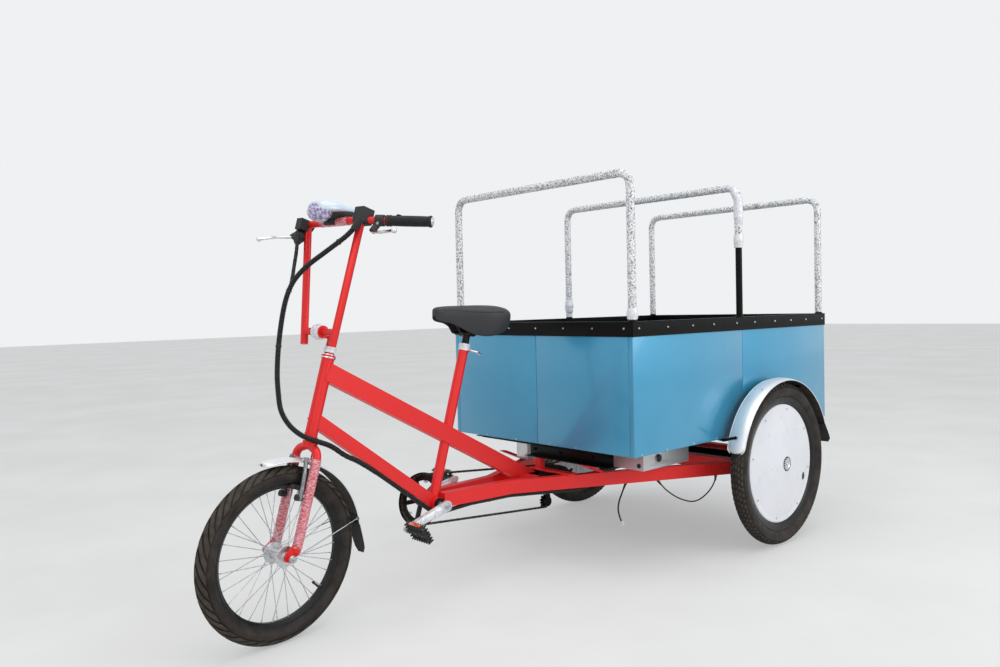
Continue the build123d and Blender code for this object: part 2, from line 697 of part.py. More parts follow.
def build_rear_axle():
    """The axle housing between the rails, its sprocket and the bearings outside the rails."""
    inner_y = RAIL_REAR_Y - RAIL_W / 2
    # Housing as (radius, y), with the differential in the middle
    profile = [(0, -inner_y), (24, -inner_y), (24, -52), (54, -40),
               (54, 40), (24, 52), (24, inner_y), (0, inner_y)]
    housing = Pos(0, 0, REAR_AXLE_Z) * turned(profile)
    housing += cross_rod(0, REAR_AXLE_Z, DRIVE_PLANE_Y - SPROCKET_T / 2, DRIVE_PLANE_Y + SPROCKET_T / 2,
                         2 * body_radius(pitch_radius(AXLE_SPROCKET_TEETH)))
    bearing = block(-45, 45, RAIL_OUTER_Y, RAIL_OUTER_Y + 10, REAR_AXLE_Z - 34, REAR_AXLE_Z + 34)
    bearing += cross_rod(0, REAR_AXLE_Z, RAIL_OUTER_Y, RAIL_OUTER_Y + 26, 56)
    bearing -= cross_rod(0, REAR_AXLE_Z, RAIL_OUTER_Y + 1.5, RAIL_OUTER_Y + 40, 20 + 2 * SHAFT_GAP)
    save("rear_axle_housing", Compound([housing.solid(), bearing.solid(), mirrored(bearing).solid()]))


def build_fork():
    """Steerer, curved crown, straight legs and dropouts with the axle, and the rim brake on the legs."""
    steerer_top = HEAD_TUBE_L + HEADSET_H + SHAFT_GAP
    crown_foot = -CROWN_DROP - CROWN_H
    fork = rod((0, 0, crown_foot), (0, 0, steerer_top), STEERER_D)
    fork += rod((0, 0, crown_foot), (0, 0, -CROWN_DROP), CROWN_D)
    leg_foot = FRONT_HUB_S + LEG_FOOT_RISE
    bend_z = -LEG_BEND_R - CROWN_DROP
    route = [(0, 0, -CROWN_DROP - LEG_D / 2), (0, LEG_SPREAD, bend_z), (0, LEG_SPREAD, leg_foot)]
    leg = bent_rod(route, LEG_BEND_R, LEG_D)
    # Dropout outline as (forward, up from the axle)
    outline = [(-13, 40), (13, 40), (34, 12), (32, -10), (12, -13), (-8, 8)]
    dropout = side_plate([(x, z + FRONT_HUB_S) for x, z in outline],
                         LEG_SPREAD - DROPOUT_T / 2, LEG_SPREAD + DROPOUT_T / 2)
    fork += leg + dropout
    fork += mirrored(leg + dropout)
    axle_end = LEG_SPREAD + AXLE_OVERHANG
    axle = cross_rod(FORK_RAKE, FRONT_HUB_S, -axle_end, axle_end, FRONT_AXLE_D)
    nut_y = LEG_SPREAD + DROPOUT_T / 2
    for side in SIDES:
        axle += on_side(cross_rod(FORK_RAKE, FRONT_HUB_S, nut_y, nut_y + FRONT_NUT_H, FRONT_NUT_D), side)
    fork += axle
    save("fork", steered(fork))

    arm = rod(BRAKE_PIVOT, BRAKE_ARM_TOP, BRAKE_ARM_D) + rod(BRAKE_BOSS, BRAKE_PIVOT, BRAKE_BOSS_D)
    pad_z = FRONT_HUB_S + sum(BRAKE_PAD_R) / 2
    pad = block(FORK_RAKE - BRAKE_PAD_L / 2, FORK_RAKE + BRAKE_PAD_L / 2, *BRAKE_PAD_Y,
                FRONT_HUB_S + BRAKE_PAD_R[0], FRONT_HUB_S + BRAKE_PAD_R[1])
    pad += rod((BRAKE_PIVOT[0], BRAKE_PAD_Y[1], pad_z), (*BRAKE_PIVOT[:2], pad_z), BRAKE_BOSS_D)
    side_part = arm + pad
    cable = rod((BRAKE_ARM_TOP[0], -BRAKE_ARM_TOP[1], BRAKE_ARM_TOP[2] - BRAKE_CABLE_D),
                (BRAKE_ARM_TOP[0], BRAKE_ARM_TOP[1], BRAKE_ARM_TOP[2] - BRAKE_CABLE_D), BRAKE_CABLE_D)
    save("front_brake", steered(side_part + mirrored(side_part) + cable - fork))


def build_handlebar():
    """Stem, upright frame, top bar, grips, levers, lamp, switch and display."""
    foot = Vector(*UPRIGHT_FOOT)
    clamp = Vector(*UPRIGHT_CLAMP)
    bend = Vector(*BAR_BEND)
    end = Vector(*BAR_END)
    uprights = rod(UPRIGHT_FOOT, UPRIGHT_TOP, UPRIGHT_D)
    uprights += mirrored(uprights)
    uprights += rod((clamp.X, -clamp.Y, clamp.Z), (clamp.X, clamp.Y, clamp.Z), BAR_D)
    route = [(end.X, -end.Y, end.Z), (bend.X, -bend.Y, bend.Z), BAR_BEND, BAR_END]
    bar = bent_rod(route, BAR_BEND_R, BAR_D)
    handlebar = uprights + bar
    stem_foot = HEAD_TUBE_L + HEADSET_H + SHAFT_GAP
    stem_half = STEM_CLAMP_W / 2
    stem = rod((0, 0, stem_foot), (0, 0, clamp.Z + STEM_CAP_H), STEM_D)
    stem += rod((0, 0, clamp.Z), (clamp.X, 0, clamp.Z), STEM_REACH_D)
    stem += rod((clamp.X, -stem_half, clamp.Z), (clamp.X, stem_half, clamp.Z), STEM_CLAMP_D)
    stem -= rod((clamp.X, -foot.Y, clamp.Z), (clamp.X, foot.Y, clamp.Z), BAR_D)
    save("stem", steered(stem))
    save("handlebar", steered(handlebar))
    along = (end - bend).normalized()
    grip = tube(tuple(bend + along * GRIP_START), tuple(bend + along * GRIP_END), GRIP_D, BAR_D + SEAT_GAP)
    save("grips", Compound([steered(grip).solid(), steered(mirrored(grip)).solid()]))
    perch_at = bend + along * PERCH_PLACE
    perch_ends = [tuple(perch_at + along * reach) for reach in (-PERCH_L / 2, PERCH_L / 2)]
    controls = []
    levers = []
    for side in SIDES:
        points = [tuple(perch_at + Vector(*p)) for p in LEVER_ROUTES[side]]
        perch = rod(*perch_ends, PERCH_D) + rod(tuple(perch_at), points[0], PERCH_NECK_D) - bar
        lever = bent_rod(points, LEVER_BEND_R, LEVER_D) + Pos(*points[-1]) * Sphere(LEVER_BALL_D / 2) - perch
        controls.append(steered(on_side(perch, side)).solid())
        levers.append(steered(on_side(lever, side)).solid())
    save("brake_levers", Compound(levers))

    clear_of_perch = rod(*perch_ends, PERCH_D + BAR_D / 4)
    display = block(*DISPLAY_FORWARD, *DISPLAY_LEFT, *DISPLAY_UP) - handlebar - clear_of_perch
    lead_start = Vector(*HARNESS_UPPER[0])
    lead_back = (lead_start - Vector(*HARNESS_UPPER[1])).normalized() * GLAND_L
    gland = rod(tuple(lead_start), tuple(lead_start + lead_back), GLAND_D)
    gland -= steered(handlebar + clear_of_perch)
    controls.append((steered(display) + gland).solids().sort_by(SortBy.VOLUME)[-1])
    switch = block(*SWITCH_FORWARD, *SWITCH_RIGHT, *SWITCH_UP) - handlebar
    controls.append(steered(switch).solids().sort_by(SortBy.VOLUME)[-1])
    save("hand_controls", Compound(controls))
    sections = [(x, width, 0, height) for x, width, height in LAMP_SECTIONS]
    lamp = Pos(*LAMP_CENTRE) * Rot(0, HEAD_TILT, 0) * rounded_loft(sections, LAMP_ROUNDING)
    save("lamp", steered(lamp - bar))


def crank_arm(y0, y1):
    """One crank arm, its pedal end ahead of the bracket, with the pedal's axle."""
    root = CRANK_BOSS_D / 2 - 1
    tip = CRANK_EYE_D / 2 - 1
    arm = side_plate([(0, root), (CRANK_L, tip), (CRANK_L, -tip), (0, -root)], y0, y1)
    arm += cross_rod(0, 0, y0, y1, CRANK_BOSS_D)
    arm += cross_rod(CRANK_L, 0, y0, y1, CRANK_EYE_D)
    arm += cross_rod(CRANK_L, 0, y1, y1 + PEDAL_GAP + PEDAL_L - PEDAL_PLATE_T - 2, PEDAL_AXLE_D)
    return arm


def pedal():
    """A cage pedal about its own axle: barrel, two treads and two chamfered end plates."""
    half = PEDAL_L / 2
    x1 = PEDAL_W / 2
    x0 = x1 - PEDAL_CHAMFER
    z1 = PEDAL_T / 2
    z0 = PEDAL_END_H / 2
    outline = [(-x1, -z0), (-x0, -z1), (x0, -z1), (x1, -z0), (x1, z0), (x0, z1), (-x0, z1), (-x1, z0)]
    body = cross_rod(0, 0, -half, half, PEDAL_BARREL_D)
    for x in (-x1, x1 - PEDAL_TREAD_W):
        body += block(x, x + PEDAL_TREAD_W, -half, half, -z0, z0)
    for y in (-half, half - PEDAL_PLATE_T):
        body += side_plate(outline, y, y + PEDAL_PLATE_T)
    body -= cross_rod(0, 0, -half, half - PEDAL_PLATE_T - 1, PEDAL_AXLE_D + 2 * SHAFT_GAP)
    return Rot(0, -PEDAL_TURN, 0) * body


def build_crankset():
    """Spindle, both arms with their pedals, and the chainring with its guard."""
    bracket = Pos(BRACKET_X, 0, BRACKET_Z)
    arm_y = CRANK_ARM_Y
    spindle = cross_rod(0, 0, -arm_y - CRANK_ARM_T, arm_y + CRANK_ARM_T, SPINDLE_D)
    arm = crank_arm(arm_y, arm_y + CRANK_ARM_T)
    left_turn = Rot(0, CRANK_DROP, 0)
    right_turn = Rot(0, CRANK_DROP + 180, 0)
    save("crank_arms", bracket * (spindle + left_turn * arm + right_turn * mirrored(arm)))
    pedal_y = arm_y + CRANK_ARM_T + PEDAL_GAP + PEDAL_L / 2
    for side, degrees in (("left", -CRANK_DROP), ("right", 180 - CRANK_DROP)):
        x, z = polar(CRANK_L, degrees)
        save(f"pedal_{side}", bracket * Pos(x, SIDES[side] * pedal_y, z) * on_side(pedal(), side))

    tip_r = body_radius(pitch_radius(RING_TEETH))
    root_r = tip_r - CHAIN_H / 2
    # One tooth as (share of the tooth's turn, radius)
    tooth = [(0, root_r), (0.3, tip_r), (0.5, tip_r), (0.8, root_r)]
    teeth = [polar(r, (n + share) * 360 / RING_TEETH) for n in range(RING_TEETH) for share, r in tooth]
    y = CHAIN_PLANE_Y
    half = SPROCKET_T / 2
    guard_y = (y - CHAIN_OUTER_W, y - CHAIN_OUTER_W + 2)
    hole_d = 2 * (tip_r - RING_DEPTH)
    ring = side_plate(teeth, y - half, y + half)
    ring -= cross_rod(0, 0, y - CHAIN_OUTER_W, y + CHAIN_OUTER_W, hole_d)
    ring += cross_rod(0, 0, *guard_y, 2 * (tip_r + GUARD_MARGIN)) - cross_rod(0, 0, *guard_y, hole_d)
    for n in range(SPIDER_ARMS):
        spider = block(0, root_r - half, guard_y[0], y + half, -SPIDER_W / 2, SPIDER_W / 2)
        ring += Rot(0, n * 360 / SPIDER_ARMS, 0) * spider
    ring += cross_rod(0, 0, -arm_y, y + CHAIN_H / 2, BRACKET_D)
    ring -= spindle
    save("chainring", bracket * ring)


def loop_points(circles):
    """Where the pins of a chain lie round circles (x, z, radius) taken clockwise from the left side."""
    runs = []
    count = len(circles)
    tangents = []
    for i in range(count):
        x0, z0, r0 = circles[i]
        x1, z1, r1 = circles[(i + 1) % count]
        gap = math.hypot(x1 - x0, z1 - z0)
        heading = math.atan2(z1 - z0, x1 - x0)
        normal = heading + math.acos((r0 - r1) / gap)
        tangents.append(normal)
    for i in range(count):
        x0, z0, r0 = circles[i]
        x1, z1, r1 = circles[(i + 1) % count]
        a_in = tangents[i - 1]
        a_out = tangents[i]
        while a_in < a_out:
            a_in += 2 * math.pi
        runs.append(("arc", x0, z0, r0, a_in, a_out, r0 * (a_in - a_out)))
        p = (x0 + r0 * math.cos(a_out), z0 + r0 * math.sin(a_out))
        q = (x1 + r1 * math.cos(a_out), z1 + r1 * math.sin(a_out))
        runs.append(("line", p[0], p[1], q[0], q[1], 0, math.hypot(q[0] - p[0], q[1] - p[1])))
    total = sum(run[-1] for run in runs)
    links = 2 * round(total / CHAIN_PITCH / 2)
    points = []
    for n in range(links):
        rest = n * total / links
        for run in runs:
            if rest <= run[-1]:
                break
            rest -= run[-1]
        if run[0] == "arc":
            angle = run[4] - rest / run[3]
            points.append((run[1] + run[3] * math.cos(angle), run[2] + run[3] * math.sin(angle)))
        else:
            share = rest / run[-1]
            points.append((run[1] + share * (run[3] - run[1]), run[2] + share * (run[4] - run[2])))
    return points


def chain(circles, plane_y):
    """A roller chain as one closed loop, its links alternately wide and narrow."""
    pins = loop_points(circles)
    links = []
    for n, (x0, z0) in enumerate(pins):
        x1, z1 = pins[(n + 1) % len(pins)]
        length = math.hypot(x1 - x0, z1 - z0)
        wide = n % 2 == 0
        width = CHAIN_OUTER_W if wide else CHAIN_INNER_W
        height = CHAIN_H if wide else CHAIN_H * CHAIN_WAIST
        reach = length + (CHAIN_H * CHAIN_WAIST if wide else 0)
        turn = math.degrees(math.atan2(z1 - z0, x1 - x0))
        middle = Pos((x0 + x1) / 2, plane_y, (z0 + z1) / 2)
        links.append(middle * Rot(0, -turn, 0) * Box(reach, width, height))
    return links[0].fuse(*links[1:])


def build_drive():
    """Motor on its plates, sprockets, the chain tensioner and both chains."""
    motor = cross_rod(MOTOR_X, MOTOR_Z, MOTOR_RIGHT_Y, MOTOR_LEFT_Y, MOTOR_D)
    motor = fillet(motor.edges().filter_by(GeomType.CIRCLE), MOTOR_EDGE_R)
    plate_t = MOTOR_PLATE_T
    cross_rear_x = CROSS_TUBE_X[0] - CROSS_TUBE_W / 2
    # Mounting plate round the motor's right and left faces, then welded to the front cross tube
    outline = [(cross_rear_x, RAIL_TOP_Z), (cross_rear_x, RAIL_BOTTOM_Z), (MOTOR_X + 30, MOTOR_Z - 46),
               (MOTOR_X - 34, MOTOR_Z - 40), (MOTOR_X - 40, MOTOR_Z + 24), (MOTOR_X - 10, MOTOR_Z + 41)]
    plates = side_plate(outline, MOTOR_RIGHT_Y - plate_t, MOTOR_RIGHT_Y)
    plates += side_plate(outline, MOTOR_LEFT_Y, MOTOR_LEFT_Y + plate_t)
    plates -= cross_rod(MOTOR_X, MOTOR_Z, MOTOR_RIGHT_Y - plate_t, MOTOR_RIGHT_Y, MOTOR_SHAFT_D)
    shaft = cross_rod(MOTOR_X, MOTOR_Z, DRIVE_PLANE_Y - CHAIN_OUTER_W, MOTOR_RIGHT_Y, MOTOR_SHAFT_D)
    for teeth, y in ((PEDAL_SPROCKET_TEETH, CHAIN_PLANE_Y), (DRIVE_SPROCKET_TEETH, DRIVE_PLANE_Y)):
        r = body_radius(pitch_radius(teeth))
        shaft += cross_rod(MOTOR_X, MOTOR_Z, y - SPROCKET_T / 2, y + SPROCKET_T / 2, 2 * r)
    save("motor", motor + shaft)
    # Tensioner arm from the plate down to its idler
    arm = side_plate([(MOTOR_X - 36, MOTOR_Z - 10), (MOTOR_X - 12, MOTOR_Z - 28), (IDLER_X + 9, IDLER_Z - 6),
                      (IDLER_X - 9, IDLER_Z - 6)], MOTOR_RIGHT_Y - 2 * plate_t, MOTOR_RIGHT_Y - plate_t)
    arm += cross_rod(IDLER_X, IDLER_Z, CHAIN_PLANE_Y - CHAIN_H / 2, MOTOR_RIGHT_Y - plate_t,
                     2 * body_radius(IDLER_PIN_R))
    save("motor_plates", Compound((plates + arm).solids()))
    pedal_loop = [(MOTOR_X, MOTOR_Z, pitch_radius(PEDAL_SPROCKET_TEETH)),
                  (BRACKET_X, BRACKET_Z, pitch_radius(RING_TEETH)), (IDLER_X, IDLER_Z, IDLER_PIN_R)]
    drive_loop = [(0, REAR_AXLE_Z, pitch_radius(AXLE_SPROCKET_TEETH)),
                  (MOTOR_X, MOTOR_Z, pitch_radius(DRIVE_SPROCKET_TEETH))]
    save("pedal_chain", chain(pedal_loop, CHAIN_PLANE_Y))
    save("drive_chain", chain(drive_loop, DRIVE_PLANE_Y))


def build_electrics():
    """The battery tray, the controller, the held conduit and the loose leads."""
    tray_front = BOX_FRONT_X - TRAY_FRONT_SETBACK
    tray_left = BOX_WIDTH / 2 - TRAY_SIDE_INSET
    tray = block(tray_front - TRAY_L, tray_front, tray_left - TRAY_W, tray_left,
                 BOX_BOTTOM_Z - TRAY_H, BOX_BOTTOM_Z)
    tray += cross_rod(tray_front - SOCKET_SETBACK, BOX_BOTTOM_Z - SOCKET_DROP,
                      tray_left, tray_left + SOCKET_T, SOCKET_D)
    hole_y = tray_left - KEY_HOLE_INSET
    hole_z = BOX_BOTTOM_Z - KEY_HOLE_DROP
    tray -= rod((tray_front - SOCKET_T, hole_y, hole_z), (tray_front + SOCKET_T, hole_y, hole_z), KEY_HOLE_D)
    save("battery_tray", tray)
    controller_front = BOX_FRONT_X - CONTROLLER_FRONT_SETBACK
    save("controller", block(controller_front - CONTROLLER_L, controller_front, CONTROLLER_RIGHT_Y,
                             CONTROLLER_RIGHT_Y + CONTROLLER_W, BOX_BOTTOM_Z - CONTROLLER_H, BOX_BOTTOM_Z))

    duct_z = RAIL_BOTTOM_Z - DUCT_D / 2 - DUCT_CLEARANCE
    on_rail_x = RAIL_BEND_X + DUCT_ON_RAIL_SHARE * (BRACKET_X - RAIL_BEND_X)
    front_route = [(BRACKET_X + x, y, z) for x, y, z in (DUCT_MOUTH, DUCT_UNDER_BRACKET)]
    duct_route = front_route + [(on_rail_x, DUCT_ON_RAIL_Y, duct_z), (RAIL_BEND_X, RAIL_BEND_Y, duct_z),
                                (DUCT_END_X, rail_y(DUCT_END_X), duct_z)]
    save("cable_duct", bent_rod(duct_route, DUCT_BEND_R, DUCT_D))

    trunk = cord(HARNESS_UPPER, HARNESS_D)
    save("harness_upper", trunk)
    save("harness_lower", cord(HARNESS_LOWER, HARNESS_D))
    save("harness_branch", cord(HARNESS_BRANCH, HARNESS_BRANCH_D) - trunk)
    save("loop_lead", cord(LOOP_LEAD, LOOP_LEAD_D))
    save("drop_lead", cord(DROP_LEAD, DROP_LEAD_D))
    plug_start = Vector(*DROP_LEAD[-1])
    plug_run = (plug_start - Vector(*DROP_LEAD[-2])).normalized() * PLUG_L
    save("drop_lead_plug", rod(DROP_LEAD[-1], tuple(plug_start + plug_run), PLUG_D))


def build_saddle():
    """Post with the saddle's clamp and rails, and the saddle."""
    base_z = SEAT_TUBE_TOP_Z - SEAT_POST_IN
    rail_z = SADDLE_RAIL[1][1]
    post = rod((seat_axis_x(base_z), 0, base_z), (seat_axis_x(rail_z), 0, rail_z), SEAT_POST_D)
    post += cross_rod(seat_axis_x(rail_z), rail_z, -SADDLE_CLAMP_L / 2, SADDLE_CLAMP_L / 2, SADDLE_CLAMP_D)
    for y in (-SADDLE_RAIL_Y, SADDLE_RAIL_Y):
        post += bent_rod([(SADDLE_TAIL_X + x, y, z) for x, z in SADDLE_RAIL], SADDLE_RAIL_BEND, SADDLE_RAIL_D)
    sections = [(SADDLE_TAIL_X + x, 2 * half, SADDLE_TOP_Z - drop - depth / 2, depth)
                for x, half, drop, depth in SADDLE_SECTIONS]
    pad = rounded_loft(sections, SADDLE_ROUNDING_SHARE)
    save("seat_post", post)
    save("saddle", pad - post)


def fender(radius, width, start, end):
    """A crowned strip round a wheel, between two angles about its axle."""
    half = width / 2
    flat = half * FENDER_FLAT
    edge = radius - FENDER_TURNDOWN
    crown = radius + FENDER_CROWN
    t = FENDER_T
    # Section as (radius, y): raised in the middle, turned down at the edges
    section = [(edge, -half), (radius, -flat), (crown, 0), (radius, flat), (edge, half),
               (edge + t, half), (radius + t, flat), (crown + t, 0), (radius + t, -flat), (edge + t, -half)]
    face = make_face(Polyline(*section, close=True))
    strip = revolve(face, axis=Axis((0, 0, 0), (0, -1, 0)), revolution_arc=end - start)
    return Rot(0, -start, 0) * strip


def flap(fender_radius, fender_end, flap_radius, flap_end, width):
    """A flat flap that carries on from the end of a fender and stands out at its foot."""
    start = Vector(*polar(fender_radius, fender_end - FLAP_T))
    end = Vector(*polar(flap_radius, flap_end))
    across = Vector(start.Y - end.Y, end.X - start.X).normalized() * FLAP_T
    corners = [start, end, end + across, start + across]
    return side_plate([(p.X, p.Y) for p in corners], -width / 2, width / 2)


def build_fenders():
    """Polished fenders over all three wheels, with their flaps, stays and brackets."""
    front_r = FRONT_TYRE_D / 2 + FRONT_FENDER_GAP
    strip = fender(front_r, FRONT_FENDER_W, FRONT_FENDER_FROM, FRONT_FENDER_TO)
    strip += flap(front_r, FRONT_FENDER_TO, FRONT_FLAP_R, FRONT_FLAP_TO, FRONT_FLAP_W)
    nut_face_y = LEG_SPREAD + DROPOUT_T / 2 + FRONT_NUT_H + SEAT_GAP
    eye_y = (nut_face_y, nut_face_y + STAY_EYE_T)
    foot = polar(STAY_EYE_D / 2 - 1, STAY_ANGLE)
    edge = polar(front_r - FENDER_TURNDOWN + FENDER_T / 2, STAY_ANGLE)
    stay = cross_rod(0, 0, *eye_y, STAY_EYE_D)
    stay += rod((foot[0], sum(eye_y) / 2, foot[1]), (edge[0], FRONT_FENDER_W / 2 - 1, edge[1]), STAY_D)
    stay -= cross_rod(0, 0, 0, 2 * LEG_SPREAD, FRONT_AXLE_D + 2 * SEAT_GAP)
    strip += stay
    strip += mirrored(stay)
    strip = Pos(FORK_RAKE, 0, FRONT_HUB_S) * Rot(0, HEAD_TILT, 0) * strip
    # Strap from the fender's crown up to the back of the fork crown
    strip += block(-24, -20, -10, 10, -79, -CROWN_DROP - 2)
    save("front_fender", steered(strip))
    rear_r = REAR_TYRE_D / 2 + REAR_FENDER_GAP
    rear = fender(rear_r, REAR_FENDER_W, REAR_FENDER_FROM, REAR_FENDER_TO)
    rear += flap(rear_r, REAR_FENDER_TO, REAR_FLAP_R, REAR_FLAP_TO, REAR_FLAP_W)
    rear = Pos(0, REAR_WHEEL_Y + REAR_FENDER_OFFSET, REAR_AXLE_Z) * rear
    half = BRACKET_BAR_W / 2
    for degrees in REAR_BRACKETS:
        x, z = polar(rear_r, degrees)
        rear += block(x - half, x + half, BOX_WIDTH / 2, REAR_WHEEL_Y, REAR_AXLE_Z + z,
                      REAR_AXLE_Z + z + BRACKET_BAR_T)
    for side in SIDES:
        save(f"rear_fender_{side}", on_side(rear, side))


os.makedirs("parts", exist_ok=True)
build_frame()
build_supports()
build_box()
build_rim_and_hoops()
build_front_wheel()
build_rear_wheels()
build_rear_axle()
build_fork()
build_handlebar()
build_crankset()
build_drive()
build_electrics()
build_saddle()
build_fenders()
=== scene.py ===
"""The looks of an electric cargo tricycle: red tube frame, blue sheet-metal box, three spoked wheels."""

import json
import logging
from dataclasses import dataclass
from enum import Enum, IntEnum
from math import acos, atan2, copysign, cos, degrees, dist, floor, hypot, pi, radians, sin, sqrt, tan, tau
from typing import Sequence

import bmesh
import bpy
from mathutils import Matrix, Vector, noise
from mathutils.bvhtree import BVHTree

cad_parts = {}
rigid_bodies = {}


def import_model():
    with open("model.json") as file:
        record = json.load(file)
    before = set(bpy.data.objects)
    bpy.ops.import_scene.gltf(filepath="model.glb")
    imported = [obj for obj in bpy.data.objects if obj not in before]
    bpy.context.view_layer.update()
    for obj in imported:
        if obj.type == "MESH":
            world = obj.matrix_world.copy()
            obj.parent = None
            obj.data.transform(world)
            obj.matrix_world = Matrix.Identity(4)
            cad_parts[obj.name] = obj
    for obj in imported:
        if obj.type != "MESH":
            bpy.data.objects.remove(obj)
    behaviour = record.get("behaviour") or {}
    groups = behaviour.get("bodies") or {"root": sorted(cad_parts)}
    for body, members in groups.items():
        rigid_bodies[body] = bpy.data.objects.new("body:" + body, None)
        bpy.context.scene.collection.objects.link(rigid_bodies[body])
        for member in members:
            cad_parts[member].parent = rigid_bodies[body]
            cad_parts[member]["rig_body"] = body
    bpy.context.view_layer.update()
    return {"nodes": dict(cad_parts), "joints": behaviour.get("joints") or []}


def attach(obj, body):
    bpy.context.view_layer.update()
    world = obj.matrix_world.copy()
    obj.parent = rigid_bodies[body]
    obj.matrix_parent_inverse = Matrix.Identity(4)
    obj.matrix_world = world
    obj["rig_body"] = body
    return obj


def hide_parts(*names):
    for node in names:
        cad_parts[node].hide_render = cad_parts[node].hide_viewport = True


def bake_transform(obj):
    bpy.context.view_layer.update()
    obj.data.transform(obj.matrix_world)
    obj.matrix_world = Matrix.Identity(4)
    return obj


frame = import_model()
LOG = logging.getLogger("tricycle")

MM = 0.001
CHAIN_PITCH = 12.7
CHAIN_ROLLER = 7.8
MERGE_MM = 1e-4
HEAD_TILT = 16.2
STEER_AT_REST = 6.3
Point = Sequence[float]
Route = Sequence[Point]
Profile = Sequence[tuple[float, float]]
Socket = bpy.types.NodeSocket
Tree = bpy.types.NodeTree


class Side(IntEnum):
    """The two sides of the vehicle, seen by the rider, with the sign of their Y."""

    LEFT = 1
    RIGHT = -1

    @property
    def word(self) -> str:
        """The side's name as the nodes have it."""
        return self.name.lower()


def moved(x: float, y: float, z: float) -> Matrix:
    """A shift in a place to work in."""
    return Matrix.Translation((x, y, z))


def turned(angle: float, axis: str = "Y") -> Matrix:
    """A turn about an axis, in degrees."""
    return Matrix.Rotation(radians(angle), 4, axis)


def around(radius: float, angle: float, y: float = 0.0) -> Vector:
    """A point round the Y axis, in degrees up from straight ahead."""
    return Vector((radius * cos(radians(angle)), y, radius * sin(radians(angle))))


def joint_place(name: str) -> tuple[Vector, Vector]:
    """A point on a joint's axis, and the axis, in metres."""
    found = next(joint for joint in frame["joints"] if joint["name"] == name)
    return Vector(found["pos_m"]), Vector(found["axis"])


def work_place(origin: Vector, forward: Vector, left: Vector, up: Vector) -> Matrix:
    """A place to work in, in millimetres, from three directions in the row frame."""
    turn = Matrix((forward, left, up)).transposed().to_4x4()
    return Matrix.Translation(origin) @ turn @ Matrix.Scale(MM, 4)


REAR_AXLE, _ = joint_place("rear_wheel_left_spin")
# Millimetres from the rear axle, along the ground and up from it
CHASSIS = moved(REAR_AXLE.x, 0, 0) @ Matrix.Scale(MM, 4)
STEER_FOOT, STEER_AXIS = joint_place("steer")
_ahead = Vector((STEER_AXIS.z, 0, -STEER_AXIS.x))
_turn = Matrix.Rotation(radians(STEER_AT_REST), 4, STEER_AXIS)
# Millimetres from the foot of the head tube, up along the steering axis, turned with the fork
STEERING = work_place(STEER_FOOT, _turn @ _ahead, _turn @ Vector((0, 1, 0)), STEER_AXIS)
FRONT_HUB, FRONT_AXLE = joint_place("front_wheel_spin")
_level = FRONT_AXLE.cross(Vector((0, 0, 1))).normalized()
FRONT_WHEEL = work_place(FRONT_HUB, _level, FRONT_AXLE, _level.cross(FRONT_AXLE))
HUB_IN_STEERING = moved(*(STEERING.inverted() @ FRONT_HUB))
LAMP_IN_STEERING = moved(103, 0, 672) @ turned(HEAD_TILT)


def srgb(code: str) -> tuple[float, float, float, float]:
    """Turn an sRGB hex colour to the linear colour that a shader takes.

    Args:
        code: Six hex digits, with or without a leading hash.

    Returns:
        Linear red, green, blue and an alpha of 1.
    """
    digits = code.lstrip("#")
    parts = [int(digits[i : i + 2], 16) / 255 for i in (0, 2, 4)]
    linear = [p / 12.92 if p <= 0.04045 else ((p + 0.055) / 1.055) ** 2.4 for p in parts]
    return (*linear, 1.0)


def add_node(
    tree: Tree, kind: str, settings: dict | None = None, links: dict | None = None
) -> bpy.types.Node:
    """Add a shader node with its settings and links.

    Args:
        tree: The material's or world's node tree.
        kind: The node's type name.
        settings: Values by property name, or by input name or number.
        links: Sockets to link from, by input name or number.

    Returns:
        The new node.
    """
    node = tree.nodes.new(kind)
    for key, value in (settings or {}).items():
        if isinstance(key, str) and hasattr(node, key):
            setattr(node, key, value)
        else:
            node.inputs[key].default_value = value
    for key, socket in (links or {}).items():
        tree.links.new(socket, node.inputs[key])
    return node


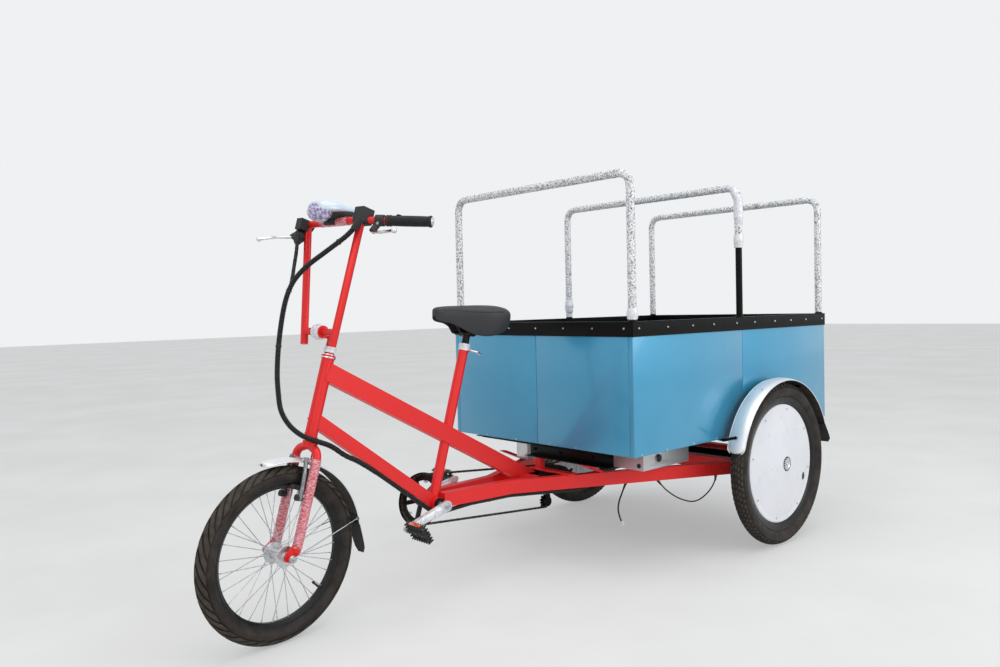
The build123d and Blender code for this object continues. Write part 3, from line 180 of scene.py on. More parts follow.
@dataclass(frozen=True)
class Finish:
    """A surface of one real material, with slow colour patches and fine grain.

    Patch and grain sizes are real millimetres, and so is the depth of the grain.
    """

    name: str
    colour: str
    second: str
    patch_mm: float = 60.0
    patch_share: float = 0.5
    roughness: float = 0.4
    roughness_spread: float = 0.08
    metallic: float = 0.0
    coat: float = 0.0
    coat_roughness: float = 0.06
    grain_mm: float = 1.5
    grain_depth_mm: float = 0.02
    dust: str | None = None
    dust_share: float = 0.0
    dust_mm: float = 25.0
    specular: float = 0.5
    stretch: tuple[float, float, float] = (1.0, 1.0, 1.0)

    def material(self) -> bpy.types.Material:
        """The Blender material, made once."""
        found = bpy.data.materials.get(self.name)
        if found is not None:
            return found
        material = bpy.data.materials.new(self.name)
        material.use_nodes = True
        tree = material.node_tree
        tree.nodes.clear()
        blobs = self.blobs(tree)
        spread = self.roughness_spread
        wear = add_node(tree, "ShaderNodeMapRange", {
            1: 0.3, 2: 0.7, 3: max(0.02, self.roughness - spread), 4: self.roughness + spread,
        }, {"Value": blobs["wear"]})
        bump = add_node(tree, "ShaderNodeBump", {"Distance": self.grain_depth_mm * MM},
                        {"Height": blobs["grain"]})
        shader = add_node(tree, "ShaderNodeBsdfPrincipled", {
            "Metallic": self.metallic, "Specular IOR Level": self.specular,
            "Coat Weight": self.coat, "Coat Roughness": self.coat_roughness,
        }, {
            "Base Color": self.colours(tree, blobs), "Roughness": wear.outputs[0], "Normal": bump.outputs[0],
        })
        add_node(tree, "ShaderNodeOutputMaterial", links={"Surface": shader.outputs["BSDF"]})
        return material

    def blobs(self, tree: Tree) -> dict[str, Socket]:
        """Soft noises whose blobs are about a real size across, by what they are for.

        Args:
            tree: The material's node tree.

        Returns:
            The socket of each noise.
        """
        coordinates = add_node(tree, "ShaderNodeTexCoord")
        place = add_node(tree, "ShaderNodeMapping", {"Scale": self.stretch},
                         {0: coordinates.outputs["Object"]})
        sizes = {"patch": (self.patch_mm, 3.0), "wear": (self.patch_mm / 3, 3.0),
                 "grain": (self.grain_mm, 3.0)}
        if self.dust:
            sizes["dust"] = (self.dust_mm, 6.0)
        return {use: add_node(
            tree, "ShaderNodeTexNoise", {"Scale": 1 / (size * MM), "Detail": detail, "Roughness": 0.6},
            {"Vector": place.outputs[0]}).outputs["Fac"] for use, (size, detail) in sizes.items()}

    def colours(self, tree: Tree, blobs: dict[str, Socket]) -> Socket:
        """The base colour: two close shades in patches, and dust over them.

        Args:
            tree: The material's node tree.
            blobs: The noises by what they are for.

        Returns:
            The colour's socket.
        """
        edge = 1 - self.patch_share
        share = add_node(tree, "ShaderNodeMapRange", {1: edge - 0.12, 2: edge + 0.12}, {0: blobs["patch"]})
        shades = {"data_type": "RGBA", 6: srgb(self.colour), 7: srgb(self.second)}
        mix = add_node(tree, "ShaderNodeMix", shades, {0: share.outputs[0]})
        if self.dust is None:
            return mix.outputs[2]
        cover = add_node(tree, "ShaderNodeMapRange", {1: 0.42, 2: 0.72, 4: self.dust_share},
                         {0: blobs["dust"]})
        return add_node(tree, "ShaderNodeMix", {"data_type": "RGBA", 7: srgb(self.dust)},
                        {0: cover.outputs[0], 6: mix.outputs[2]}).outputs[2]


# Stoved enamel on steel tube: wet gloss with slight orange peel and a little road dust
RED_ENAMEL = Finish("red_enamel", "#BE040B", "#B20308", patch_mm=90, roughness=0.34, roughness_spread=0.06,
                    coat=0.05, specular=0.22, grain_mm=2.2, grain_depth_mm=0.03, dust="#A9746C",
                    dust_share=0.07)
# Metallic enamel on cold-rolled sheet: fine flake under a clear coat, so that it mirrors softly
BLUE_SHEET = Finish("blue_metallic_sheet", "#3C97BF", "#429DC4", patch_mm=400, roughness=0.34,
                    metallic=0.25, roughness_spread=0.04, coat=0.6, coat_roughness=0.12, grain_mm=8)
# Satin black enamel on angle steel and tube
BLACK_ENAMEL = Finish("black_enamel", "#060607", "#09090A", roughness=0.34, specular=0.12, dust="#33302D",
                      dust_share=0.05)
# Natural rubber with carbon black, brown with road dust
TYRE_RUBBER = Finish("tyre_rubber", "#1F1B19", "#272220", roughness=0.6, specular=0.25, grain_mm=1.0,
                     grain_depth_mm=0.06, dust="#5C5349", dust_share=0.3, dust_mm=50)
# The same rubber, lighter on the lug tops: road dust, and painted light where light falls on the tops
TREAD_DUST_AND_LIGHT = Finish("tread_rubber", "#4A443E", "#3D3732", patch_mm=18, roughness=0.85, specular=0.15,
                      grain_mm=1.0, grain_depth_mm=0.08, dust="#6A6157", dust_share=0.3, dust_mm=30)
# Moulded black rubber of flaps and grommets
BLACK_RUBBER = Finish("black_rubber", "#0E0D0E", "#151415", patch_mm=25, roughness=0.7, specular=0.2,
                      grain_mm=1.2, grain_depth_mm=0.05, dust="#4A4540", dust_share=0.12)
# Stainless strip with a brushed, milky polish: bright, with soft reflections
FENDER_STEEL = Finish("stainless_strip", "#F0F1F2", "#E6E7E9", patch_mm=160, roughness=0.34,
                      roughness_spread=0.05, metallic=0.5, grain_mm=12)
# Chrome plate on small steel parts
CHROME = Finish("chrome_plate", "#E4E6E8", "#D2D5D8", roughness=0.12, roughness_spread=0.05, metallic=1.0,
                grain_mm=8, grain_depth_mm=0.01)
# Zinc-plated steel wire, nuts and screws
ZINC = Finish("zinc_plate", "#C9CCCF", "#AEB2B6", patch_mm=20, roughness=0.3, metallic=1.0)
# Cast aluminium, bead blasted
CAST_ALLOY = Finish("cast_alloy", "#C2C4C6", "#AAACAF", patch_mm=25, roughness=0.36, metallic=1.0,
                    grain_mm=0.8, grain_depth_mm=0.03)
# Injection-moulded white ABS disc, dulled by handling
WHITE_ABS = Finish("white_abs", "#E4E5EA", "#DCDEE4", patch_mm=200, roughness=0.32, grain_mm=4,
                   grain_depth_mm=0.01, dust="#B5B0A8", dust_share=0.06, dust_mm=90)
# Injection-moulded black nylon and ABS
BLACK_PLASTIC = Finish("black_plastic", "#0A0A0B", "#0F0F10", patch_mm=20, roughness=0.42, specular=0.3,
                       grain_mm=0.6, grain_depth_mm=0.03)
# Soft black thermoplastic rubber of the grips
GRIP_RUBBER = Finish("grip_rubber", "#121314", "#191A1B", patch_mm=15, roughness=0.55, specular=0.3,
                     grain_mm=0.8, grain_depth_mm=0.05, dust="#4A4A49", dust_share=0.1)
# Oiled steel chain and sprockets
CHAIN_STEEL = Finish("chain_steel", "#4E463C", "#2F2A25", patch_mm=12, metallic=0.9)
# Black-oxide steel of the chainring
BLACK_STEEL = Finish("black_oxide_steel", "#1E1D1D", "#2A2826", patch_mm=18, roughness=0.36, metallic=0.8)
# Black anodised rim with a machined wall
BLACK_RIM = Finish("black_anodised_rim", "#0B0B0C", "#111113", patch_mm=50, roughness=0.34, specular=0.3,
                   dust="#4A443D", dust_share=0.1)
# Soft PVC over foam, embossed with a leather grain
SADDLE_VINYL = Finish("saddle_vinyl", "#0F1012", "#16171A", patch_mm=50, specular=0.4, grain_mm=1.4,
                      grain_depth_mm=0.12, coat=0.1, coat_roughness=0.3)
# Clear packing film over silvery foam: bright folds, with near-white patches that are partly painted glints
FOAM_FILM_PAINTED_GLINTS = Finish("film_over_foam", "#F1F2F4", "#3F444A", patch_mm=6.0, patch_share=0.45, roughness=0.2,
                   roughness_spread=0.12, coat=0.6, grain_mm=5, grain_depth_mm=1.1)
# Clear film wound on red enamel: the red shows through pink between white folds
PINK_FILM = Finish("film_over_red", "#C63C4A", "#E6B1B8", patch_mm=11, patch_share=0.48, roughness=0.22,
                   roughness_spread=0.12, coat=0.5, grain_mm=6, grain_depth_mm=0.8, stretch=(1.0, 1.0, 3.6))
# Several turns of white stretch film
WHITE_FILM = Finish("white_stretch_film", "#EDEDF0", "#CFD0D6", patch_mm=9, roughness=0.3, coat=0.5,
                    grain_mm=5, grain_depth_mm=0.7)
# Bubble wrap tinted purple by what is printed under it
BUBBLE_FILM = Finish("bubble_film", "#6A589C", "#D9D6E8", patch_mm=8, roughness=0.18, roughness_spread=0.1,
                     coat=0.8, grain_mm=5, grain_depth_mm=1.2)
# Glossy white lamp shell
WHITE_SHELL = Finish("white_lamp_shell", "#D3DFEA", "#C8D5E2", roughness=0.2, coat=0.5)
# Smoked screen glass
SCREEN = Finish("smoked_screen", "#0C0D10", "#101216", roughness=0.1, roughness_spread=0.02, coat=1.0)
# Amber retro-reflector of the pedals
AMBER = Finish("amber_reflector", "#D9581C", "#C24A14", patch_mm=6, roughness=0.15, coat=0.8, grain_mm=2.0,
               grain_depth_mm=0.2)
# White nylon plug
WHITE_NYLON = Finish("white_nylon", "#E4E2DC", "#D8D6CF", patch_mm=10)
# Black PVC sheath of the leads, a little dull
CABLE_SHEATH = Finish("cable_sheath", "#0C0C0D", "#131314", patch_mm=14, roughness=0.5, specular=0.3,
                      grain_mm=1.0, grain_depth_mm=0.04, dust="#3B3835", dust_share=0.12)
# Checkered steel floor sheet, painted black
FLOOR_SHEET = Finish("floor_sheet", "#232426", "#2B2C2E", patch_mm=120, roughness=0.5, dust="#7B746A",
                     dust_share=0.25, dust_mm=90)
# Underside of the fenders: painted shade, a dark face under the bright strip
FENDER_UNDERSIDE_SHADE = Finish("fender_underside", "#3A3734", "#4A4641", patch_mm=30, roughness=0.7, specular=0.25,
                       dust="#6A6159", dust_share=0.3)
# Sand-cast motor case: its silver alloy is painted dark grey as painted shade from the box above, with
# darker dust patches
MOTOR_CASE_PAINTED_SHADE = Finish("motor_case_alloy", "#55575A", "#3E4043", patch_mm=30, roughness=0.45, metallic=0.7,
                    grain_mm=1.2, grain_depth_mm=0.05, dust="#4B453E", dust_share=0.3)
# Forged brake arms, tumbled to a dull grey
BRAKE_ALLOY = Finish("brake_alloy", "#8F9193", "#77797C", patch_mm=18, roughness=0.38, metallic=0.9)
# Painted plaster floor: matt and even
STUDIO_FLOOR = Finish("studio_floor", "#E2E1DE", "#D8D6D2", patch_mm=900, roughness=0.85, grain_mm=20,
                      grain_depth_mm=0.02)


def crinkle(place: Vector, size_mm: float, seed: float) -> float:
    """How far crumpled film stands out at a point, from -1 to 1: a noise with sharp folds."""
    at = place / size_mm + Vector((seed, 0, 0))
    return 1 - 2 * abs(noise.noise(at)) - abs(noise.noise(at * 2.3)) * 0.8


def rounded_route(points: Route, bend_mm: float) -> list[Vector]:
    """Points along straight runs whose corners are rounded.

    Args:
        points: The corners, in millimetres.
        bend_mm: The radius of each corner.

    Returns:
        The points of the route.
    """
    pieces = 8
    corners = [Vector(p) for p in points]
    route = [corners[0]]
    for before, corner, after in zip(corners, corners[1:], corners[2:]):
        into = (before - corner).normalized()
        out = (after - corner).normalized()
        half = into.angle(out) / 2
        reach = min(bend_mm / tan(half), (before - corner).length / 2, (after - corner).length / 2)
        start = corner + into * reach
        end = corner + out * reach
        for step in range(pieces + 1):
            share = step / pieces
            route.append(start.lerp(corner, share).lerp(corner.lerp(end, share), share))
    return [*route, corners[-1]]


def split_route(points: Route, step_mm: float) -> list[Vector]:
    """The same route with a point at least every few millimetres.

    Args:
        points: The route, in millimetres.
        step_mm: How far apart the points are at most.

    Returns:
        The finer route.
    """
    route = [Vector(p) for p in points]
    fine = [route[0]]
    for a, b in zip(route, route[1:]):
        count = max(1, round((b - a).length / step_mm))
        fine += [a.lerp(b, n / count) for n in range(1, count + 1)]
    return fine


class Workpiece:
    """One mesh, made in millimetres in a place of its own, which rides on a CAD body."""

    def __init__(self, place: Matrix = CHASSIS, body: str = "frame") -> None:
        """Start with nothing in a place to work in."""
        self.place = place
        self.body = body
        self.mesh = bmesh.new()

    def lathe(
        self, profile: Profile, steps: int = 96, turn: Matrix | None = None, arc: float = 360.0
    ) -> list[bmesh.types.BMFace]:
        """Spin a closed profile round the Y axis.

        Args:
            profile: Points (radius, y) in millimetres.
            steps: How many steps a turn takes.
            turn: Where the spun shape goes in the work place.
            arc: How far it is spun, in degrees.

        Returns:
            The new faces.
        """
        ring = [self.mesh.verts.new((r, y, 0)) for r, y in profile]
        edges = [self.mesh.edges.new(pair) for pair in zip(ring, ring[1:] + ring[:1])]
        known = set(self.mesh.faces)
        full = arc >= 360
        made = bmesh.ops.spin(
            self.mesh, geom=ring + edges, cent=(0, 0, 0), axis=(0, -1, 0), dvec=(0, 0, 0),
            angle=radians(arc), steps=steps, use_merge=full, use_duplicate=False,
        )
        if not full:
            last = [item for item in made["geom_last"] if isinstance(item, bmesh.types.BMVert)]
            for end in (ring, last):
                bmesh.ops.contextual_create(self.mesh, geom=end)
        faces = [face for face in self.mesh.faces if face not in known]
        verts = list({vert for face in faces for vert in face.verts})
        bmesh.ops.remove_doubles(self.mesh, verts=verts, dist=MERGE_MM)
        faces = [face for face in self.mesh.faces if face not in known]
        if turn is not None:
            verts = list({vert for face in faces for vert in face.verts})
            bmesh.ops.transform(self.mesh, matrix=turn, verts=verts)
        return faces

    def bar(self, start: Point, end: Point, d0: float, d1: float | None = None, sides: int = 12) -> None:
        """Add a round bar or a taper from one point to another.

        Args:
            start: One end, in millimetres.
            end: The other end.
            d0: The diameter at the start.
            d1: The diameter at the end, where it differs.
            sides: How many flats it has.
        """
        a = Vector(start)
        along = Vector(end) - a
        turn = along.to_track_quat("Z", "Y").to_matrix().to_4x4()
        bmesh.ops.create_cone(
            self.mesh, cap_ends=True, segments=sides, radius1=d0 / 2,
            radius2=(d0 if d1 is None else d1) / 2, depth=along.length,
            matrix=Matrix.Translation(a + along / 2) @ turn,
        )

    def block(self, low: Point, high: Point, edge: float = 0.0, turn: Matrix | None = None) -> None:
        """Add a box between two corners, its edges rounded.

        Args:
            low: The lowest corner, in millimetres.
            high: The highest corner.
            edge: How wide the rounded edges are.
            turn: Where the box goes, if it is turned.
        """
        a = Vector(low)
        b = Vector(high)
        place = Matrix.Translation((a + b) / 2) @ Matrix.Diagonal((*(b - a), 1))
        verts = bmesh.ops.create_cube(self.mesh, size=1, matrix=place)["verts"]
        if edge:
            edges = list({e for vert in verts for e in vert.link_edges})
            faces = bmesh.ops.bevel(self.mesh, geom=edges, offset=edge, segments=2, affect="EDGES",
                                    profile=0.5, material=-1)["faces"]
            verts = list({v for face in faces for v in face.verts} | {v for v in verts if v.is_valid})
        if turn is not None:
            bmesh.ops.transform(self.mesh, matrix=turn, verts=verts)

    def across(self, boxes: Sequence[Route], edge: float, side: Side) -> None:
        """Add boxes to one side of the vehicle.

        Args:
            boxes: The low and high corners of each on the left side.
            edge: How wide the rounded edges are.
            side: The side they go on.
        """
        for low, high in boxes:
            y = sorted((side * low[1], side * high[1]))
            self.block((low[0], y[0], low[2]), (high[0], y[1], high[2]), edge)

    def ball(self, centre: Point, radii: Point, turn: Matrix | None = None, parts: int = 24) -> list:
        """Add a stretched ball.

        Args:
            centre: Its middle, in millimetres.
            radii: Its three radii.
            turn: How it is turned.
            parts: How many faces go round it.

        Returns:
            Its vertices.
        """
        place = Matrix.Translation(centre) @ (turn or Matrix.Identity(4)) @ Matrix.Diagonal((*radii, 1))
        return bmesh.ops.create_uvsphere(self.mesh, u_segments=parts, v_segments=parts // 2, radius=1,
                                         matrix=place)["verts"]

    def pipe(self, points: Route, radii: float | Sequence[float], sides: int = 14) -> list[list]:
        """Carry a circle along a route and bridge each to the next.

        Args:
            points: The centres of the circles, in millimetres.
            radii: One radius, or one for each centre.
            sides: How many vertices each circle has.

        Returns:
            The vertices of each circle, in order.
        """
        route = [Vector(p) for p in points]
        sizes = [radii] * len(route) if isinstance(radii, (int, float)) else radii
        rings: list[list] = []
        turn = (route[1] - route[0]).to_track_quat("Z", "Y")
        for index, centre in enumerate(route):
            ahead = route[min(index + 1, len(route) - 1)] - centre
            behind = centre - route[max(index - 1, 0)]
            along = (ahead.normalized() + behind.normalized()).normalized()
            turn = (turn @ Vector((0, 0, 1))).rotation_difference(along) @ turn
            matrix = Matrix.Translation(centre) @ turn.to_matrix().to_4x4()
            rings.append(bmesh.ops.create_circle(self.mesh, cap_ends=False, segments=sides,
                                                 radius=sizes[index], matrix=matrix)["verts"])
        self.bridge([list({edge for vert in ring for edge in vert.link_edges}) for ring in rings], rings)
        return rings

    def bridge(self, loops: Sequence[list], rings: Sequence[list]) -> None:
        """Bridge each ring to the next, and close the first and the last.

        Args:
            loops: The edges of each ring.
            rings: The vertices of each ring.
        """
        for a, b in zip(loops, loops[1:]):
            bmesh.ops.bridge_loops(self.mesh, edges=a + b)
        for end in (rings[0], rings[-1]):
            bmesh.ops.contextual_create(self.mesh, geom=end)

    def loft(self, sections: Sequence[Route]) -> None:
        """Bridge outlines into a closed shape.

        Args:
            sections: The outlines, each with the same number of points.
        """
        rings = [[self.mesh.verts.new(point) for point in section] for section in sections]
        loops = [[self.mesh.edges.new(pair) for pair in zip(ring, ring[1:] + ring[:1])] for ring in rings]
        self.bridge(loops, rings)

    def wrap(
        self, route: Sequence[Vector], radius: float | Sequence[float], proud: float, size_mm: float,
        seed: float, sides: int, pitch_mm: float,
    ) -> list[list]:
        """Wind crumpled film round a tube.

        Args:
            route: The tube's centre line, in millimetres.
            radius: The radius below the film, or one for each point.
            proud: How far the film stands out at most.
            size_mm: The size of a crumple.
            seed: A number that sets this film apart.
            sides: How many vertices go round it.
            pitch_mm: How far along one winding goes.

        Returns:
            The vertices of each circle, in order.
        """
        radii = [radius] * len(route) if isinstance(radius, (int, float)) else radius
        rings = self.pipe(route, radii, sides)
        gone = 0.0
        for index, ring in enumerate(rings):
            gone += (route[index] - route[index - 1]).length if index else 0.0
            for number, vert in enumerate(ring):
                out = (vert.co - route[index]).normalized()
                lap = (gone / pitch_mm + number / sides) % 1.0
                height = 0.42 + 0.28 * crinkle(vert.co, size_mm, seed) + 0.3 * lap
                vert.co = route[index] + out * (radii[index] + proud * min(1.0, max(0.05, height)))
        return rings

    def weld(self, outline: Route, node: str, along: Point, bead: float, seed: float = 0) -> None:
        """Lay a weld bead where an outline meets a node.

        Args:
            outline: Points round the outline, in millimetres.
            node: The node that the outline runs into.
            along: The direction in which it runs into it.
            bead: The bead's diameter.
            seed: A number that sets this bead apart.
        """
        data = frame["nodes"][node].data
        faces = [tuple(polygon.vertices) for polygon in data.polygons]
        tree = BVHTree.FromPolygons([v.co for v in data.vertices], faces)
        direction = (self.place.to_3x3() @ Vector(along)).normalized()
        back = self.place.inverted()
        hits = []
        for point in split_route(outline, 4.0):
            found = tree.ray_cast(self.place @ point - direction * 0.03, direction, 0.12)[0]
            if found is not None:
                hits.append(back @ found)
        if len(hits) > 2:
            shift = Vector((seed, 0, 0))
            swell = [0.22 * sin(n * 1.9) + 0.12 * noise.noise(p / 5 + shift) for n, p in enumerate(hits)]
            self.pipe(hits, [bead / 2 * (1 + share) for share in swell], 8)

    def hexagon(self, foot: Point, along: Point, across: float, height: float, stud: float = 0.0) -> None:
        """Add a nut or bolt head that stands on a face.

        Args:
            foot: The middle of its foot, in millimetres.
            along: The way it stands.
            across: Its width over the flats.
            height: How tall it is.
            stud: How far the thread stands out of it, if it does.
        """
        way = Vector(along).normalized()
        root = Vector(foot)
        self.bar(root, root + way * height, across / cos(pi / 6), sides=6)
        if stud:
            self.bar(root, root + way * (height + stud), across * 0.55)

    def extrude(self, faces: list, thick: float) -> list:
        """Grow flat faces along Y.

        Args:
            faces: The faces.
            thick: How far they grow, in millimetres.

        Returns:
            The new vertices.
        """
        grown = bmesh.ops.extrude_face_region(self.mesh, geom=faces)["geom"]
        new = [item for item in grown if isinstance(item, bmesh.types.BMVert)]
        bmesh.ops.translate(self.mesh, verts=new, vec=(0, thick, 0))
        return new

    def to_data(self, name: str) -> bpy.types.Mesh:
        """Hand the work over as mesh data.

        Args:
            name: The data's name.

        Returns:
            The mesh data.
        """
        data = bpy.data.meshes.new(name)
        self.mesh.to_mesh(data)
        self.mesh.free()
        return data

    def stamp(self, template: bpy.types.Mesh, place: Matrix) -> None:
        """Add a copy of a template in a place of its own.

        Args:
            template: A mesh, in millimetres.
            place: Where the copy goes.
        """
        copy = template.copy()
        copy.transform(place)
        self.mesh.from_mesh(copy)
        bpy.data.meshes.remove(copy)

    def finish(
        self, name: str, finish: Finish, *replaces: str, smooth: float = 32.0, rounding: float = 0.0,
        slot: str | None = None, copied: bool = False,
    ) -> bpy.types.Object:
        """Turn the work into an object that rides on its body.

        Args:
            name: The object's name.
            finish: What it is made of.
            replaces: The nodes it stands for.
            smooth: The angle in degrees below which an edge is shaded soft.
            rounding: The width of a bevel on its sharp edges, in millimetres.
            slot: The record's material slot, where it has one; not used.
            copied: Whether the mesh is a CAD node's, whose faces already point outwards.

        Returns:
            The object.
        """
        if not copied:
            bmesh.ops.remove_doubles(self.mesh, verts=self.mesh.verts, dist=MERGE_MM)
            bmesh.ops.recalc_face_normals(self.mesh, faces=self.mesh.faces)
            bmesh.ops.transform(self.mesh, matrix=self.place, verts=self.mesh.verts)
        piece = bpy.data.objects.new(name, self.to_data(name))
        bpy.context.scene.collection.objects.link(piece)
        piece.data.materials.clear()
        piece.data.materials.append(finish.material())
        piece.data.shade_smooth()
        piece.data.set_sharp_from_angle(angle=radians(smooth))
        if rounding:
            bevel = piece.modifiers.new("rounding", "BEVEL")
            bevel.width = rounding * MM
            bevel.segments = 2
            bevel.limit_method = "ANGLE"
            bevel.angle_limit = radians(35)
            bevel.harden_normals = True
        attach(piece, self.body)
        for node in replaces:
            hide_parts(node)
        LOG.info("made %s", piece.name)
        return piece


def steered(place: Matrix = Matrix()) -> Workpiece:
    """Start a piece that turns with the fork, in the fork's place or one within it."""
    return Workpiece(STEERING @ place, "steering")


def smooth_copy(node: str, finish: Finish, smooth: float = 32.0, rounding: float = 0.0) -> bpy.types.Object:
    """Stand in for a node with the same shape, its triangles merged, its edges softened.

    Args:
        node: The CAD node.
        finish: What it is made of.
        smooth: The angle in degrees below which an edge is shaded soft.
        rounding: The width of a bevel on its sharp edges, in millimetres.

    Returns:
        The new object.
    """
    cad = frame["nodes"][node]
    work = Workpiece(body=cad["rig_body"])
    mesh = work.mesh
    mesh.from_mesh(cad.data)
    bmesh.ops.remove_doubles(mesh, verts=mesh.verts, dist=1e-6)
    bmesh.ops.dissolve_limit(mesh, angle_limit=radians(1.0), verts=mesh.verts, edges=mesh.edges)
    return work.finish(f"{node}_skin", finish, node, smooth=smooth, rounding=rounding, copied=True)


def spline_points(points: Route) -> list[Vector]:
    """Points along the smooth spline that has the given control points.

    Args:
        points: The control points, in millimetres.

    Returns:
        The points, in millimetres.
    """
    curve = bpy.data.curves.new("route", "CURVE")
    curve.dimensions = "3D"
    curve.resolution_u = 8
    spline = curve.splines.new("NURBS")
    spline.points.add(len(points) - 1)
    for handle, point in zip(spline.points, points):
        handle.co = (*point, 1)
    spline.order_u = 3
    spline.use_endpoint_u = True
    holder = bpy.data.objects.new("route", curve)
    line = bpy.data.meshes.new_from_object(holder)
    found = [vert.co.copy() for vert in line.vertices]
    bpy.data.objects.remove(holder)
    bpy.data.curves.remove(curve)
    bpy.data.meshes.remove(line)
    return found


class Tread(Enum):
    """The patterns of lugs on the tyres, by the section's points in degrees from the crown."""

    CHEVRON = (0, 11, 22, 34, 46, 58, 72, 84, 97, 103, 118, 132, 146)
    KNOBBY = (0, 2, 17, 20, 37, 40, 60, 72, 88, 96, 110, 126, 142)

    def has_lug(self, row: int, column: int) -> bool:
        """Whether a lug stands at a place on the tyre.

        Args:
            row: The row, counted from the crown.
            column: The column round the tyre.

        Returns:
            Whether it stands.
        """
        if self is Tread.CHEVRON:
            return row < 6 and column % 4 < 3
        return row in (1, 3, 5) and (column + row // 2) % 3 < 2

    @property
    def lean(self) -> float:
        """How far the lugs trail behind the crown, as a share of their angle from it."""
        return 0.22 if self is Tread.CHEVRON else 0.0


@dataclass
class SpokedWheel:
    """A tyre with block tread on a steel rim, laced with crossed spokes to a hub."""

    # "front", "rear_left" or "rear_right"
    name: str
    place: Matrix
    tyre_d: float
    tyre_w: float
    rim_d: float
    rim_w: float
    rim_depth: float
    hub: Profile
    flange_r: float
    flange_y: float
    tread: Tread
    steps: int
    valve_turn: float
    tread_mm: float = 3.0
    spokes_per_side: int = 18
    cross_deg: float = 18.0
    spoke_d: float = 2.3
    nipple_d: float = 4.2

    @property
    def node(self) -> str:
        """The rim's node, which has the body's name too."""
        end, _, side = self.name.partition("_")
        return f"{end}_wheel_{side}" if side else f"{end}_wheel"

    def build(self) -> None:
        """Make the tyre, the rim, the spokes, the valve and the hub."""
        self.make_tyre()
        self.make_rim()
        self.make_spokes()
        self.make_valve()
        hub = Workpiece(self.place, self.node)
        hub.lathe(self.hub, 48)
        hub.finish(f"{self.name}_hub", CAST_ALLOY, rounding=0.8, slot="wheel_metal")

    def make_tyre(self) -> None:
        """Spin the tyre's section, then raise the lugs out of its crown and shoulders."""
        work = Workpiece(self.place, self.node)
        section_r = self.tyre_w / 2
        core_r = self.tyre_d / 2 - section_r
        angles = self.tread.value
        profile = []
        for row in range(1 - len(angles), len(angles)):
            angle = radians(copysign(angles[abs(row)], row))
            # The lugs' rows lie lower, and the ninth stands out as the line round the wall
            lower = self.tread_mm if abs(row) <= 6 else (-0.8 if abs(row) == 9 else 0.0)
            profile.append((core_r + (section_r - lower) * cos(angle), (section_r - lower) * sin(angle)))
        lugs = []
        for face in work.lathe(profile, self.steps):
            at = face.calc_center_median()
            out = abs(degrees(atan2(at.y, hypot(at.x, at.z) - core_r)))
            row = sum(1 for angle in angles if angle < out) - 1
            column = floor(degrees(atan2(at.z, at.x)) % 360 / (360 / self.steps))
            if self.tread.has_lug(row, column):
                lugs.append(face)
        bmesh.ops.inset_region(work.mesh, faces=lugs, thickness=0.9, depth=self.tread_mm,
                               use_even_offset=True)
        for vert in work.mesh.verts:
            out = atan2(vert.co.y, hypot(vert.co.x, vert.co.z) - core_r)
            vert.co = Matrix.Rotation(self.tread.lean * abs(out), 3, "Y") @ vert.co
        tyre = work.finish(f"{self.name}_tread", TYRE_RUBBER, self.node.replace("wheel", "tyre"), smooth=34,
                           slot="black_rubber")
        # The lug tops take the lighter rubber: road dust and painted light, with the grooves and walls left
        # darker.
        tyre.data.materials.append(TREAD_DUST_AND_LIGHT.material())
        back = self.place.inverted()
        for polygon in tyre.data.polygons:
            at = back @ polygon.center
            rise = hypot(at.x, at.z) - core_r
            top = hypot(rise, at.y) > section_r - 0.8
            polygon.material_index = int(top and abs(degrees(atan2(at.y, rise))) < angles[6])

    def make_rim(self) -> None:
        """Spin the rim: braking walls, a hollow back and rolled lips for the bead."""
        work = Workpiece(self.place, self.node)
        r = self.rim_d / 2
        half = self.rim_w / 2
        inner = r - self.rim_depth
        profile = [(r - 3, half - 4), (r + 1, half - 2), (r + 2.5, half), (r + 1, half + 1.2), (r - 2, half),
                   (r - 9, half - 1), (inner + 4, half * 0.62), (inner, half * 0.4)]
        profile += [(x, -y) for x, y in reversed(profile)]
        work.lathe(profile, 120)
        work.finish(f"{self.name}_rim", BLACK_RIM, self.node, slot="wheel_metal")

    def make_spokes(self) -> None:
        """Lace the spokes and put a nipple on each at the rim."""
        work = Workpiece(self.place, self.node)
        rim_r = self.rim_d / 2 - self.rim_depth
        step = 360 / self.spokes_per_side
        across = Vector((0, 2, 0))
        for side in Side:
            for count in range(self.spokes_per_side):
                turn = count * step + (step / 2 if side is Side.RIGHT else 0)
                way = 1 if count % 2 else -1
                foot = around(self.flange_r, turn, side * self.flange_y)
                tip = around(rim_r, turn + way * self.cross_deg, side * 3)
                head = foot + across * (0.75 * side * way)
                work.bar(head, tip, self.spoke_d, sides=6)
                work.bar(head - across, head + across, 4.5, sides=6)
                work.bar(tip.lerp(foot, 0.07), tip, 2.8, self.nipple_d, sides=6)
        work.finish(f"{self.name}_spokes", ZINC, slot="wheel_metal")

    def make_valve(self) -> None:
        """The valve's stem through the rim, with its cap."""
        work = Workpiece(self.place, self.node)
        rim_r = self.rim_d / 2 - self.rim_depth
        way = around(1, self.valve_turn)
        work.bar(way * (rim_r - 24), way * (rim_r + 2), 6, 8.5)
        work.bar(way * (rim_r - 32), way * (rim_r - 24), 8)
        work.finish(f"{self.name}_valve", BLACK_RUBBER)


